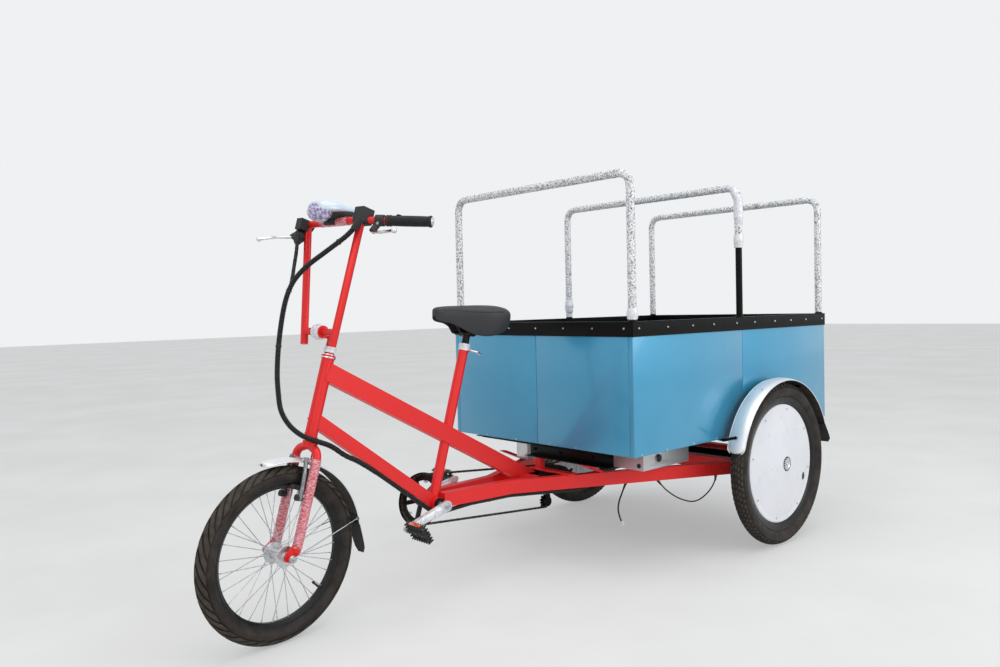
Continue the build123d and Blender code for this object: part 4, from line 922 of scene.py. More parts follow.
@dataclass
class CoverDisc:
    """The moulded white disc over a rear wheel's outer face."""

    side: Side
    place: Matrix
    rim_r: float = 231.7
    hole_r: float = 29.0
    hub_y: float = 37.0
    rim_y: float = 11.0
    screw_r: float = 214.0
    screws: int = 8
    valve_at: tuple[float, float] = (-157.0, -73.0)
    spline_teeth: int = 16

    def work(self) -> Workpiece:
        """Start a piece on the wheel."""
        return Workpiece(self.place, f"rear_wheel_{self.side.word}")

    def surface_y(self, radius: float) -> float:
        """How far out the disc's face is at a radius."""
        share = (radius - self.hole_r) / (self.rim_r - self.hole_r)
        return self.hub_y + (self.rim_y - self.hub_y) * share

    def build(self) -> None:
        """Make the disc, its screws, painted shade for its valve hole and hub hole, and the splined hub in
        its middle.
        """
        work = self.work()
        hole = self.hole_r
        hub = self.hub_y
        r = self.rim_r
        y = self.rim_y
        profile = [(hole, hub - 3.5), (hole, hub - 0.8), (hole + 1.5, hub)]
        profile += [(radius, self.surface_y(radius) - 1.2 * sin((radius - 30) / (r - 30) * pi))
                    for radius in (60, 90, 120, 150, 180, 205)]
        profile += [(r - 9, self.surface_y(r - 9)), (r - 7, self.surface_y(r - 7) + 1.0), (r - 2, y + 1.0),
                    (r, y - 0.6), (r, y - 3), (r - 8, y - 3)]
        work.lathe(profile, 128)
        side = self.side.word
        work.finish(f"cover_disc_{side}", WHITE_ABS, f"rear_cover_{side}", slot="cover_white")
        self.make_screws()
        self.make_recess()
        self.make_hub_end()

    def make_screws(self) -> None:
        """Small pan-head screws near the rim, in shallow washers."""
        work = self.work()
        y = self.surface_y(self.screw_r)
        for number in range(self.screws):
            x, _, z = around(self.screw_r, number * 360 / self.screws + 12)
            work.bar((x, y - 1, z), (x, y + 0.6, z), 9, sides=16)
            work.bar((x, y, z), (x, y + 2.2, z), 5.6, 4.2)
        work.finish(f"disc_screws_{self.side.word}", ZINC)

    def make_recess(self) -> None:
        """Painted shade: a dark oval for the valve hole and a dark disc behind the splined hub."""
        work = self.work()
        x, z = self.valve_at
        # Black pieces stand in for the shade inside the holes.
        work.ball((x, self.surface_y(hypot(x, z)) - 1.2, z), (11, 2.4, 16), turned(-8, "Z"), 20)
        work.bar((0, self.hub_y - 10, 0), (0, self.hub_y - 2.5, 0), 2 * self.hole_r + 1, sides=40)
        work.finish(f"disc_recess_{self.side.word}", BLACK_RUBBER)

    def make_hub_end(self) -> None:
        """The splined shaft end in the middle of the disc, with its nut."""
        work = self.work()
        y = self.hub_y
        for number in range(self.spline_teeth):
            work.block((17, y - 4, -1.8), (25, y + 1.5, 1.8), 0.6, turned(-number * 360 / self.spline_teeth))
        work.lathe([(10, y - 6), (18.5, y - 6), (18.5, y + 2), (15, y + 3), (12, y + 1), (10, y + 1)], 40)
        work.hexagon((0, y - 6, 0), (0, 1, 0), 17, 8, 4)
        work.finish(f"splined_hub_{self.side.word}", CHROME, rounding=0.4)


@dataclass
class Fender:
    """A crowned strip over a wheel, with beaded edges."""

    name: str
    place: Matrix
    body: str
    radius: float
    width: float
    start: float
    end: float
    offset_y: float = 0.0
    crown: float = 3.0
    turndown: float = 8.0
    thick: float = 1.6
    corner: float = 26.0
    hem: float = 1.7

    def corner_share(self, angle: float) -> float:
        """How much of its width the strip keeps at an angle, its front corners being round.

        Args:
            angle: Degrees up from straight ahead.

        Returns:
            A share of the width.
        """
        gone = radians(angle - self.start) * self.radius
        if gone >= self.corner:
            return 1.0
        cut = self.corner - sqrt(max(0.0, self.corner ** 2 - (self.corner - gone) ** 2))
        return 1 - cut / (self.width / 2)

    def section(self, lift: float) -> list[tuple[float, float]]:
        """The crowned section across the strip.

        Args:
            lift: How far above its inner face, in millimetres.

        Returns:
            Points (radius, y).
        """
        half = self.width / 2 - self.hem
        top = self.radius + self.crown + lift
        return [(top - self.turndown * abs(step / 6) ** 2.4, self.offset_y + step / 6 * half)
                for step in range(-6, 7)]

    def strip(self, high: float, low: float) -> Workpiece:
        """Spin the section along the strip and round its front corners.

        Args:
            high: The outer face's height, in millimetres.
            low: The inner face's height.

        Returns:
            The work, ready to finish.
        """
        work = Workpiece(self.place, self.body)
        steps = round((self.end - self.start) / 1.2)
        work.lathe([*self.section(high), *reversed(self.section(low))], steps, turned(-self.start),
                   self.end - self.start)
        for vert in work.mesh.verts:
            share = self.corner_share(degrees(atan2(vert.co.z, vert.co.x)))
            vert.co.y = self.offset_y + (vert.co.y - self.offset_y) * share
        return work

    def build(self) -> None:
        """Make the strip with its rolled beads, and the dark face below it, which is painted shade."""
        work = self.strip(self.thick, 0.5)
        edge_r = self.radius + self.crown + self.thick - self.turndown
        for side in Side:
            route = []
            for step in range(round(self.end - self.start) + 1):
                angle = self.start + step
                y = side * (self.width / 2 - self.hem) * self.corner_share(angle + 0.5)
                route.append(around(edge_r, angle, self.offset_y + y))
            work.pipe(route, 1.5, 8)
        work.finish(f"{self.name}_strip", FENDER_STEEL, self.name, smooth=50, slot="bright_metal")
        # The dark face under the strip is painted shade.
        self.strip(0.45, 0.0).finish(f"{self.name}_underside", FENDER_UNDERSIDE_SHADE, smooth=50)

    def flap(self, end: float, radius: float, width: float) -> None:
        """Hang a rubber flap, 3 mm thick, from the strip's rear end.

        Args:
            end: The angle of its foot, in degrees.
            radius: How far its foot is from the axle.
            width: How wide it is.
        """
        rows = 8
        columns = 6
        work = Workpiece(self.place, self.body)
        start = self.end - 5
        top = self.radius + 3.5
        grid = []
        for row in range(rows + 1):
            share = row / rows
            point = around(top + (radius - top) * share ** 2.0, start + (end - start) * share)
            reach = width / 2 * ((1 - share ** 6) ** 0.5 * 0.55 + 0.45)
            line = []
            for column in range(columns + 1):
                out = column / columns * 2 - 1
                at = point - point.normalized() * (4.0 * out ** 2)
                at.y = self.offset_y + out * reach
                line.append(work.mesh.verts.new(at))
            grid.append(line)
        for line, after in zip(grid, grid[1:]):
            for n in range(columns):
                work.mesh.faces.new((line[n], line[n + 1], after[n + 1], after[n]))
        bmesh.ops.recalc_face_normals(work.mesh, faces=work.mesh.faces)
        bmesh.ops.solidify(work.mesh, geom=work.mesh.faces[:], thickness=3.0)
        work.finish(f"{self.name}_flap", BLACK_RUBBER, rounding=0.8)

    def rivets(self, angles: Sequence[float], spread: float) -> None:
        """Put round-head screws through the strip in pairs.

        Args:
            angles: Where they are, in degrees.
            spread: How far apart, as a share of the width.
        """
        work = Workpiece(self.place, self.body)
        for angle in angles:
            out = around(1, angle)
            for side in Side:
                foot = out * (self.radius + self.crown + self.thick - 1.2)
                foot.y = self.offset_y + side * self.width * spread / 2
                work.bar(foot, foot + out * 3.0, 8, 5.5)
        work.finish(f"{self.name}_screws", ZINC)


@dataclass
class FrontGuard:
    """The front fender with its strap, wire stays and flap."""

    stay_angle: float = 167.5
    stay_d: float = 4.0

    def build(self) -> None:
        """Make the strip, the stays down to the axle and the strap up to the crown."""
        place = HUB_IN_STEERING @ turned(HEAD_TILT)
        strip = Fender("front_fender", STEERING @ place, "steering", 275.0, 66.0, 79.0, 172.0)
        strip.build()
        strip.flap(192.0, 310.0, 56.0)
        strip.rivets((168.0,), 0.5)
        work = steered(place)
        across = Vector((0, 4, 0))
        for side in Side:
            ring_y = side * 65.3
            route = [around(8, self.stay_angle, ring_y), around(235, self.stay_angle, side * 36.5),
                     around(269, self.stay_angle, side * 32.5)]
            work.pipe(rounded_route(route, 40), self.stay_d / 2, 10)
            work.bar((0, ring_y - 1, 0), (0, ring_y + 1, 0), 18, sides=24)
            clip = around(266, self.stay_angle, side * 33.5)
            work.bar(clip - across, clip + across, 8)
        work.finish("fender_stays", CHROME)
        strap = steered()
        strap.block((-25, -9, -70), (-22, 9, -14), 1.0)
        strap.block((-30, -9, -72), (6, 9, -69), 1.0)
        strap.hexagon((-22, 0, -24), (1, 0, 0), 10, 6)
        strap.hexagon((-8, 0, -69), (0, 0, 1), 10, 5)
        strap.finish("fender_strap", CHROME)


@dataclass
class RearGuards:
    """Both rear fenders with their rods to the box, their straps and their flaps."""

    half_track: float = 526.5
    axle_z: float = 318.0
    box_half: float = 464.0
    radius: float = 332.0
    rod_angle: float = 118.0
    rod_d: float = 8.0
    strap_angle: float = 24.0

    def build(self) -> None:
        """Make each side's strip, flap, rod and front strap."""
        for side in Side:
            name = f"rear_fender_{side.word}"
            place = CHASSIS @ moved(0, side * self.half_track, self.axle_z)
            strip = Fender(name, place, "frame", self.radius, 76.0, 14.0, 158.0, side * 6.0)
            strip.build()
            strip.flap(174.0, 380.0, 68.0)
            strip.rivets((64.0, 116.0, 154.0), 0.35)
            self.make_rod(side)
            self.make_strap(side)

    def make_rod(self, side: Side) -> None:
        """The rod from the box's wall out to the fender, on its round foot.

        Args:
            side: The side it is on.
        """
        work = Workpiece()
        x, _, z = around(self.radius, self.rod_angle)
        z += self.axle_z - 2
        root = (x, side * self.box_half, z)
        work.bar(root, (x, side * (self.half_track + 12), z), self.rod_d, sides=14)
        work.bar(root, (x, side * (self.box_half + 3), z), 22, sides=20)
        work.finish(f"fender_rods_{side.word}", BLACK_ENAMEL)

    def make_strap(self, side: Side) -> None:
        """A black strap from the box's bottom corner out to the fender's front end.

        Args:
            side: The side it is on.
        """
        work = Workpiece()
        x, _, z = around(self.radius + 6, self.strap_angle)
        z += self.axle_z
        y = side * (self.half_track + 4)
        route = rounded_route([(x - 26, side * (self.box_half - 30), 439.5),
                               (x - 10, side * (self.box_half + 6), 439.5), (x, y, z)], 20)
        for a, b in zip(route, route[1:]):
            work.bar(a, b, 12, sides=10)
        work.hexagon((x + 1, y, z), around(1, self.strap_angle), 9, 5)
        work.finish(f"fender_strap_{side.word}", BLACK_ENAMEL)


@dataclass
class CargoBox:
    """The sheet-metal load box with its angle-steel rim and its screws."""

    x0: float = -516.0
    x1: float = 819.0
    half: float = 464.0
    z0: float = 443.0
    z1: float = 895.0
    sheet: float = 20.0
    base: float = 15.0
    band: float = 48.0
    proud: float = 3.0
    seam_y: float = 8.0
    seam_x: float = 148.0
    seam_half: float = 0.8

    def build(self) -> None:
        """Make the panels, the rim, the floor, the post and the screws."""
        self.make_panels()
        self.make_rim()
        work = Workpiece()
        inner = self.half - self.sheet
        work.block((self.x0 + self.sheet, -inner, self.z0 + 1),
                   (self.x1 - self.sheet, inner, self.z0 + self.base), 1.0)
        work.finish("box_floor_sheet", FLOOR_SHEET, "box_floor", slot="black_angle")
        self.make_post()
        self.make_screws()

    def make_panels(self) -> None:
        """Each wall in two sheets that meet in a narrow seam, hemmed at the foot."""
        gap = self.seam_half
        z0 = self.z0
        z1 = self.z1 - 0.5
        inner = self.half - self.sheet
        for side in Side:
            work = Workpiece()
            work.across([((self.x0, inner, z0), (self.seam_x - gap, self.half, z1)),
                         ((self.seam_x + gap, inner, z0), (self.x1, self.half, z1))], 2.0, side)
            work.across([((self.x0 + 3, inner + 2, z0 + 2), (self.x1 - 3, self.half - 2, z1 - 2))], 0, side)
            work.finish(f"box_wall_{side.word}", BLUE_SHEET, f"box_side_{side.word}", slot="blue_sheet")
        for end, low in (("front", self.x1 - self.sheet), ("rear", self.x0)):
            work = Workpiece()
            high = low + self.sheet
            for y0, y1 in ((-inner, self.seam_y - gap), (self.seam_y + gap, inner)):
                work.block((low, y0, z0), (high, y1, z1), 2.0)
            work.block((low + 2, -inner, z0 + 2), (high - 2, inner, z1 - 2))
            work.finish(f"box_wall_{end}", BLUE_SHEET, f"box_{end}", slot="blue_sheet")

    def make_rim(self) -> None:
        """The black channel over the top edge: a face outside, a lip and a face inside."""
        work = Workpiece()
        low = self.z1 - self.band
        top = self.z1 + self.proud
        out = self.proud
        inside = self.sheet + 4
        # The channel's parts as (near edge, far edge, foot), measured outwards from the box's face
        parts = ((0, out, low), (-inside, out, self.z1), (-inside, 2 - inside, low))
        for side in Side:
            work.across([((self.x0 - out, self.half + near, foot), (self.x1 + out, self.half + far, top))
                         for near, far, foot in parts], 1.0, side)
        for x, way in ((self.x1, 1), (self.x0, -1)):
            for near, far, foot in parts:
                ends = sorted((x + way * near, x + way * far))
                work.block((ends[0], -self.half - out, foot), (ends[1], self.half + out, top), 1.0)
        work.finish("box_edge_band", BLACK_ENAMEL, "box_rim", slot="black_angle")

    def make_post(self) -> None:
        """The post under the front wall and the angle bearer on it."""
        smooth_copy("box_post", RED_ENAMEL, rounding=1.2)
        work = Workpiece()
        work.block((785, -345, 429), (788, 345, 441), 0.8)
        work.block((785, -64, 391), (788, 345, 441), 0.8)
        work.block((785, -64, 391), (819, 345, 394), 0.8)
        work.block((785, -345, 438), (819, 345, 441), 0.8)
        for y in (-40, 90, 250):
            work.hexagon((788, y, 415), (1, 0, 0), 10, 5)
        work.finish("box_bearer_angle", BLACK_ENAMEL, "box_bearer", slot="black_angle")

    def make_screws(self) -> None:
        """Pan-head screws along the walls' lower edges and round the rim band."""
        work = Workpiece()
        low = self.z0 + 6
        high = self.z1 - 20
        # Screws as (height, places, head, how far the face stands out)
        along = ((low, (-470, -300, -150, 10, 130, 166, 330, 480, 640, 780), 7.5, 0.0),
                 (high, (-490, -348, -221, -92, 61, 190, 346, 479, 628, 788), 8.5, self.proud))
        across = ((low, (-430, -279, -110, 72, 200, 320, 430), 7.5, 0.0),
                  (high, (-420, -277, -133, 12, 152, 290, 430), 8.5, self.proud))
        for z, places, head, out in along:
            for side in Side:
                y = side * (self.half + out)
                for x in places:
                    work.bar((x, y - side, z), (x, y + side * 1.9, z), head, head * 0.75, sides=14)
        for z, places, head, out in across:
            for x, way, stands in ((self.x1 + out, 1, 1.9), (self.x0 - out, -1, 0.3 if out else 1.9)):
                for y in places:
                    work.bar((x - way, y, z), (x + way * stands, y, z), head, head * 0.75, sides=14)
        work.finish("box_screws", ZINC)


@dataclass
class Hoops:
    """The three bent tubes over the box, in crumpled foam and film."""

    half: float = 449.0
    top: float = 1398.0
    foot: float = 898.0
    bend: float = 55.0
    tube_d: float = 25.0
    film_r: float = 13.0
    proud: float = 2.4
    # Hoops as (name, place along the box, height at which the left leg's film begins, nodes of the film)
    places: Sequence[tuple[str, float, float, Sequence[str]]] = (
        ("front", 799.0, 6.0, ("hoop_wraps",)), ("middle", 142.0, 275.0, ()), ("rear", -496.0, 6.0, ()),
    )
    # Wads as (top, foot, radius at the top, in the middle and at the foot)
    wads: Sequence[Route] = (
        ((142, 335, 1398), (142, 400, 1398), (10.5, 12.2, 12.2)),
        ((142, 430, 1393), (142, 449, 1352), (14.0, 15.5, 15.0)),
        ((142, 449, 1356), (142, 452, 1205), (15.0, 16.5, 4.0)),
        ((142, 449, 1215), (142, 449, 1165), (15.0, 17.0, 14.0)),
        ((799, 449, 944), (799, 449, 906), (14.0, 17.5, 15.5)),
        ((142, -449, 985), (142, -449, 925), (14.0, 19.0, 14.5)),
    )

    def build(self) -> None:
        """Make each hoop and its wrapping."""
        for seed, (name, x, bare, nodes) in enumerate(self.places):
            route = [(x, self.half, self.foot), (x, self.half, self.top), (x, -self.half, self.top),
                     (x, -self.half, self.foot)]
            tube = Workpiece()
            tube.pipe(rounded_route(route, self.bend), self.tube_d / 2, 20)
            for side in Side:
                y = side * self.half
                tube.bar((x, y, self.foot - 0.5), (x, y, self.foot + 4), 33, 30, sides=28)
            tube.finish(f"hoop_{name}_tube", BLACK_ENAMEL, f"hoop_{name}", slot="black_angle")
            covered = [(x, self.half, self.foot + bare), *route[1:3], (x, -self.half, self.foot + 6)]
            film = Workpiece()
            film.wrap(split_route(rounded_route(covered, self.bend), 5.0), self.film_r, self.proud, 8.0,
                      seed * 7.3, 22, 46.0)
            # The film's near-white patches are partly painted glints.
            film.finish(f"hoop_{name}_film", FOAM_FILM_PAINTED_GLINTS, *nodes, smooth=70, slot="bright_film")
        self.make_wads()

    def make_wads(self) -> None:
        """Wads of white film where the wrapping is gathered or hangs loose."""
        work = Workpiece()
        for number, (top, foot, sizes) in enumerate(self.wads):
            route = split_route([top, foot], 4.0)
            radii = []
            for n in range(len(route)):
                share = 2 * n / (len(route) - 1)
                a, b = sizes[:2] if share < 1 else sizes[1:]
                radii.append(a + (b - a) * (share % 1 if share < 2 else 1))
            work.wrap(route, radii, 3.0, 7.0, 40.0 + number, 22, 30.0)
        work.finish("hoop_wads", WHITE_FILM, smooth=75)


@dataclass
class Frame:
    """The welded red frame, its weld beads, the stands and the bracket shell."""

    tubes: tuple[str, ...] = (
        "head_tube", "upper_beam", "lower_beam", "seat_tube", "rail_left", "rail_right", "cross_tubes"
    )
    # Where each beam's outline meets the head tube: corners a little behind it, and the way to it
    head_welds: Sequence[tuple[Route, Point]] = (
        (((1775, -20, 741), (1775, 20, 741), (1760, 20, 800), (1760, -20, 800)), (1.0, 0, 0.35)),
        (((1800, -17, 610), (1800, 17, 610), (1785, 17, 650), (1785, -17, 650)), (0.9, 0, 0.4)),
    )
    # Cross tubes as (place along the frame, the rails' distance from the middle plane there)
    cross_tubes: Profile = ((905.0, 102.2963), (160.0, 440.0), (-110.0, 440.0))
    bracket: tuple[float, float] = (1312.0, 309.0)

    def build(self) -> None:
        """Dress the tubes and lay the welds where they meet."""
        for tube in self.tubes:
            smooth_copy(f"frame_{tube}", RED_ENAMEL, rounding=1.2)
        self.make_welds()
        self.make_headset()
        self.make_bracket()
        smooth_copy("box_stands", RED_ENAMEL, rounding=1.2)

    def make_welds(self) -> None:
        """Rippled beads where the beams run into the head tube and the cross tubes into the rails."""
        work = Workpiece()
        for corners, along in self.head_welds:
            work.weld([*corners, corners[0]], "frame_head_tube", along, 5.0)
        for x, rail_y in self.cross_tubes:
            for side in Side:
                y = side * (rail_y - 30)
                corners = [(x - 20, y, 300), (x - 20, y, 340), (x + 20, y, 340), (x + 20, y, 300)]
                work.weld([*corners, corners[0]], f"frame_rail_{side.word}", (0, side, 0), 4.5, x)
        work.finish("frame_welds", RED_ENAMEL)

    def make_headset(self) -> None:
        """The silver bearing cup and its lock ring at the lower end of the head tube."""
        work = steered()
        work.lathe([(15, -14), (23, -14), (23, -6), (21.5, -4.5), (21.5, -1), (15, -1)], 48, turned(90, "X"))
        work.finish("headset_lower", CHROME)

    def make_bracket(self) -> None:
        """The threaded bearing cups in the bracket shell, with their round notches."""
        x, z = self.bracket
        work = Workpiece(CHASSIS @ moved(x, 0, z))
        for side in Side:
            work.bar((0, side * 36, 0), (0, side * 40, 0), 42, 40, sides=40)
            for angle in range(0, 360, 45):
                work.bar(around(19.5, angle, side * 38), around(19.5, angle, side * 40.6), 5, sides=8)
        work.finish("bracket_cups", BLACK_STEEL)


@dataclass
class Fork:
    """The red fork in its film, with the rim brake, the axle nuts and the lower bearing."""

    leg_y: float = 52.0
    foot_z: float = -330.0
    film_top: float = -62.0
    film_r: float = 12.9
    brake_arm: Route = ((21, 42, -184), (23, 45, -150), (25, 44, -105), (25, 36, -62))

    def build(self) -> None:
        """Make the fork, its film, its nuts, its brake and its bearing."""
        smooth_copy("fork", RED_ENAMEL, smooth=40, rounding=0.8)
        self.make_film()
        self.make_nuts()
        self.make_brake()
        race = steered()
        race.bar((0, 0, -12), (0, 0, -6), 46, 44, sides=48)
        race.bar((0, 0, -6), (0, 0, -1), 41, sides=48)
        race.finish("lower_race", CHROME, rounding=0.6)

    def make_film(self) -> None:
        """Wind film round both legs from below the bend to the red feet."""
        work = steered()
        for side in Side:
            y = side * self.leg_y
            route = split_route([(0, y, self.film_top), (0, y, self.foot_z + 12)], 5.0)
            work.wrap(route, self.film_r, 2.6, 6.0, 3.0 + side, 26, 30.0)
        work.finish("fork_film", PINK_FILM, smooth=75)

    def make_nuts(self) -> None:
        """Axle nuts, washers and thread ends outside both feet."""
        work = steered(HUB_IN_STEERING)
        for side in Side:
            work.bar((0, side * 66.5, 0), (0, side * 68.5, 0), 22, sides=28)
            work.hexagon((0, side * 68.5, 0), (0, side, 0), 17, 8, 6)
        work.finish("front_axle_nuts", ZINC, rounding=0.5)

    def make_brake(self) -> None:
        """Two arms from a pivot on each leg, with their pads and cross cable."""
        arms = steered()
        pads = steered()
        for s in Side:
            arms.bar((2, s * 50, -172), (26, s * 42, -172), 13, sides=20)
            arms.hexagon((24, s * 42, -172), (1, 0, 0), 9, 5)
            route = rounded_route([(x, s * y, z) for x, y, z in self.brake_arm], 30)
            arms.pipe(route, [8.4 - 2.4 * n / (len(route) - 1) for n in range(len(route))], 12)
            pads.block((-10, s * 22 - 5, -157), (48, s * 22 + 5, -143), 2.5)
            pads.bar((14, s * 40, -178), (34, s * 40, -178), 19, sides=20)
            pads.bar((18, s * 33, -150), (34, s * 33, -150), 15, sides=20)
            arms.bar((22, s * 26, -155), (22, s * 47, -155), 6)
            arms.hexagon((22, s * 45, -155), (0, s, 0), 9, 5)
        arms.pipe([(25, 36 - 72 * n / 12, -62 - 6 * sin(n / 12 * pi)) for n in range(13)], 1.4, 8)
        arms.finish("brake_arms", BRAKE_ALLOY, "front_brake", smooth=45, slot="bright_metal")
        pads.finish("brake_pads", BLACK_RUBBER)


@dataclass
class Handlebar:
    """The bar on its stem, with grips, levers, controls, display and lamp."""

    clamp_x: float = 50.7
    clamp_z: float = 307.0
    bar_bend: Point = (88.0, 118.0, 638.0)
    bar_end: Point = (-24.0, 306.0, 662.0)
    perch: float = 66.0
    grip_start: float = 96.0
    grip_end: float = 220.0
    grip_d: float = 33.0
    grip_steps: int = 44
    # The throttle's boot and its pull, as points from the right perch
    boot: Route = ((14, 4, -20), (30, 12, -38), (42, 24, -49), (56, 42, -53), (64, 52, -55))
    pull: Route = ((34, 0, -58), (38, 14, -62), (44, 34, -64))
    # The lamp's shell as sections (x, width, height)
    shell: Route = (
        (-80, 34, 18), (-72, 54, 30), (-60, 74, 40), (-40, 89, 50), (-20, 100, 58), (0, 105, 62),
        (20, 106, 63), (40, 99, 60), (60, 84, 52), (68, 60, 40),
    )
    shell_sides: int = 40

    def build(self) -> None:
        """Make the bar and what is clamped on it."""
        smooth_copy("handlebar", RED_ENAMEL, smooth=42)
        self.make_stem()
        self.make_grips()
        self.make_controls()
        self.make_levers()
        self.make_display()
        self.make_lamp()
        self.make_films()

    def along(self, side: Side, reach: float, rise: float = 0.0) -> Vector:
        """A point along the bar.

        Args:
            side: The half of the bar.
            reach: How far out from the bend, in millimetres.
            rise: How far above the bar's middle.

        Returns:
            The point.
        """
        bend = Vector(self.bar_bend)
        point = bend + (Vector(self.bar_end) - bend).normalized() * reach
        return Vector((point.x, point.y * side, point.z + rise))

    def make_stem(self) -> None:
        """The stem in white film, its clamp bolts and the headset above the head tube."""
        smooth_copy("stem", RED_ENAMEL, smooth=50)
        film = steered()
        film.wrap(split_route([(0, 0, 254), (0, 0, 272)], 3.0), 16.0, 3.5, 7.0, 5.0, 24, 14.0)
        film.finish("stem_film", WHITE_FILM, smooth=75)
        ball = steered()
        route = split_route([(self.clamp_x, -23, self.clamp_z), (self.clamp_x, 17, self.clamp_z)], 2.5)
        radii = [13 + 8 * sin(pi * n / (len(route) - 1)) ** 0.6 for n in range(len(route))]
        ball.wrap(route, radii, 4.5, 6.0, 31.0, 28, 12.0)
        ball.finish("stem_wrapping", WHITE_FILM, smooth=75)
        rings = steered()
        for low, high, size in ((237, 241, 45), (241, 246, 40), (246.5, 250, 36)):
            rings.bar((0, 0, low), (0, 0, high), size, sides=48)
        rings.hexagon((0, 0, 241.5), (0, 0, 1), 36, 5)
        rings.hexagon((0, 0, 319), (0, 0, 1), 13, 5)
        rings.finish("headset_rings", CHROME, rounding=0.6)

    def make_grips(self) -> None:
        """Ribbed rubber grips with a flange inside and a silver collar at the end."""
        rubber = steered()
        collars = steered()
        steps = self.grip_steps
        end = self.grip_end
        for side in Side:
            route = []
            radii = []
            for n in range(steps + 1):
                share = n / steps
                route.append(self.along(side, self.grip_start + (end - self.grip_start) * share))
                rib = (0.55 if n % 2 else -0.45) if 2 <= n <= steps - 2 else 0
                flange = 2.2 if n < 2 or n > steps - 3 else 0.0
                radii.append(self.grip_d / 2 - 1.6 + 0.8 * sin(share * pi) + rib + flange)
            rubber.pipe(route, radii, 28)
            collars.pipe([self.along(side, end + n) for n in (-1, 0, 3.5, 5)], [12.5, 13.4, 13.4, 11.6], 32)
            rubber.pipe([self.along(side, end + n) for n in (-1, 0, 1.5, 2)], [16.0, 16.6, 16.2, 14.0], 32)
            collars.pipe([self.along(side, end + n) for n in (4, 6.5)], [6.0, 5.0], 20)
            rubber.ball(self.along(side, self.grip_start + 26, 14.5), (12, 7, 4.5), parts=16)
        rubber.finish("grip_rubber", GRIP_RUBBER, "grips", smooth=40, slot="black_grip")
        collars.finish("grip_collars", CAST_ALLOY)

    def make_controls(self) -> None:
        """Perches, the throttle collar and the switch housing, with their screws."""
        smooth_copy("hand_controls", BLACK_PLASTIC, smooth=40, rounding=1.4)
        work = steered()
        for side in Side:
            near = self.along(side, 84)
            far = self.along(side, 93)
            work.pipe([near, near.lerp(far, 0.3), far.lerp(near, 0.3), far], [15, 17, 17, 15.5], 28)
        root = self.along(Side.RIGHT, self.perch)
        work.pipe([root + Vector(p) for p in self.boot], [13, 18, 20, 18, 9], 24)
        work.pipe([root + Vector(p) for p in self.pull], [9, 12, 8], 18)
        work.finish("throttle_collars", BLACK_PLASTIC)
        screws = steered()
        for side in Side:
            screws.bar(self.along(side, self.perch, 12), self.along(side, self.perch, 18.5), 6, sides=10)
        screws.finish("perch_screws", ZINC)

    def make_levers(self) -> None:
        """Flattened silver levers, ball-ended, from their perches."""
        smooth_copy("brake_levers", CHROME, smooth=50)
        work = steered()
        for side in Side:
            at = self.along(side, self.perch)
            work.bar(at + Vector((14, -9, -14)), at + Vector((14, 9, -14)), 9, sides=16)
        work.finish("lever_pivots", ZINC)

    def make_display(self) -> None:
        """The black display box with its screen and its bar clamp."""
        case = steered()
        case.block((62.5, 110.5, 628.5), (103.5, 149.5, 673.5), 5.0)
        case.bar((83, 112, 640), (83, 148, 640), 30, sides=32)
        case.bar((83, 130, 628), (83, 130, 616), 19.5, 15, sides=24)
        case.finish("display_case", BLACK_PLASTIC, smooth=40)
        glass = steered()
        glass.block((61.2, 114, 636), (63.2, 146, 668), 1.0)
        glass.finish("display_glass", SCREEN)

    def make_lamp(self) -> None:
        """The white domed lamp shell and its black base."""
        work = steered(LAMP_IN_STEERING)
        sections = []
        for x, width, height in self.shell:
            ring = []
            for number in range(self.shell_sides):
                angle = number * tau / self.shell_sides
                up = sin(angle)
                y = width / 2 * copysign(abs(cos(angle)) ** 0.8, cos(angle))
                ring.append((x, y, height / 2 * (up if up > 0 else up * 0.3) - 3))
            sections.append(ring)
        work.loft(sections)
        work.finish("lamp_shell", WHITE_SHELL, "lamp", smooth=60, slot="lamp_shell")
        base = steered(LAMP_IN_STEERING)
        base.ball((-14, 0, -12), (60, 48, 23), parts=40)
        base.block((-30, -20, -46), (20, 20, -26), 4.0)
        base.finish("lamp_base", BLACK_PLASTIC)

    def make_films(self) -> None:
        """Film on the middle of the bar and bubble wrap over the lamp's front."""
        film = steered()
        x, _, z = self.bar_bend
        film.wrap(split_route([(x, -58, z), (x, 74, z)], 3.0), 11.3, 2.6, 7.0, 9.0, 22, 24.0)
        film.finish("bar_film", PINK_FILM, smooth=75)
        bubble = steered(LAMP_IN_STEERING)
        centre = Vector((46, 0, -8))
        for vert in bubble.ball(centre, (34, 44, 31), parts=72):
            vert.co += (vert.co - centre).normalized() * (1.6 * crinkle(vert.co, 9.0, 3.0) - 1.0)
        bubble.finish("lamp_wrapping", BUBBLE_FILM, smooth=75)


def pitch_radius(teeth: int) -> float:
    """The radius of the circle that a chain's pins lie on round a wheel."""
    return CHAIN_PITCH / (2 * sin(pi / teeth))


def add_sprocket(work: Workpiece, teeth: int, centre: Point, thick: float = 2.6) -> None:
    """Add a toothed wheel for half-inch roller chain.

    Args:
        work: The workpiece that it goes into.
        teeth: How many teeth it has.
        centre: Its middle, in millimetres.
        thick: How thick it is.
    """
    # The rim's height at each of six places round a tooth, in rollers from the pitch circle
    heights = (-0.42, -0.3, 0.1, 0.42, 0.42, 0.1)
    made = bmesh.ops.create_circle(work.mesh, cap_ends=True, segments=teeth * len(heights), radius=1,
                                   matrix=turned(90, "X"))["verts"]
    for vert in made:
        share = atan2(vert.co.z, vert.co.x) / tau * teeth % 1.0
        low = heights[floor(share * len(heights)) % len(heights)]
        vert.co *= pitch_radius(teeth) + CHAIN_ROLLER * low * 1.1
    made += work.extrude([made[0].link_faces[0]], thick)
    bmesh.ops.translate(work.mesh, verts=made, vec=Vector(centre) - Vector((0, thick / 2, 0)))


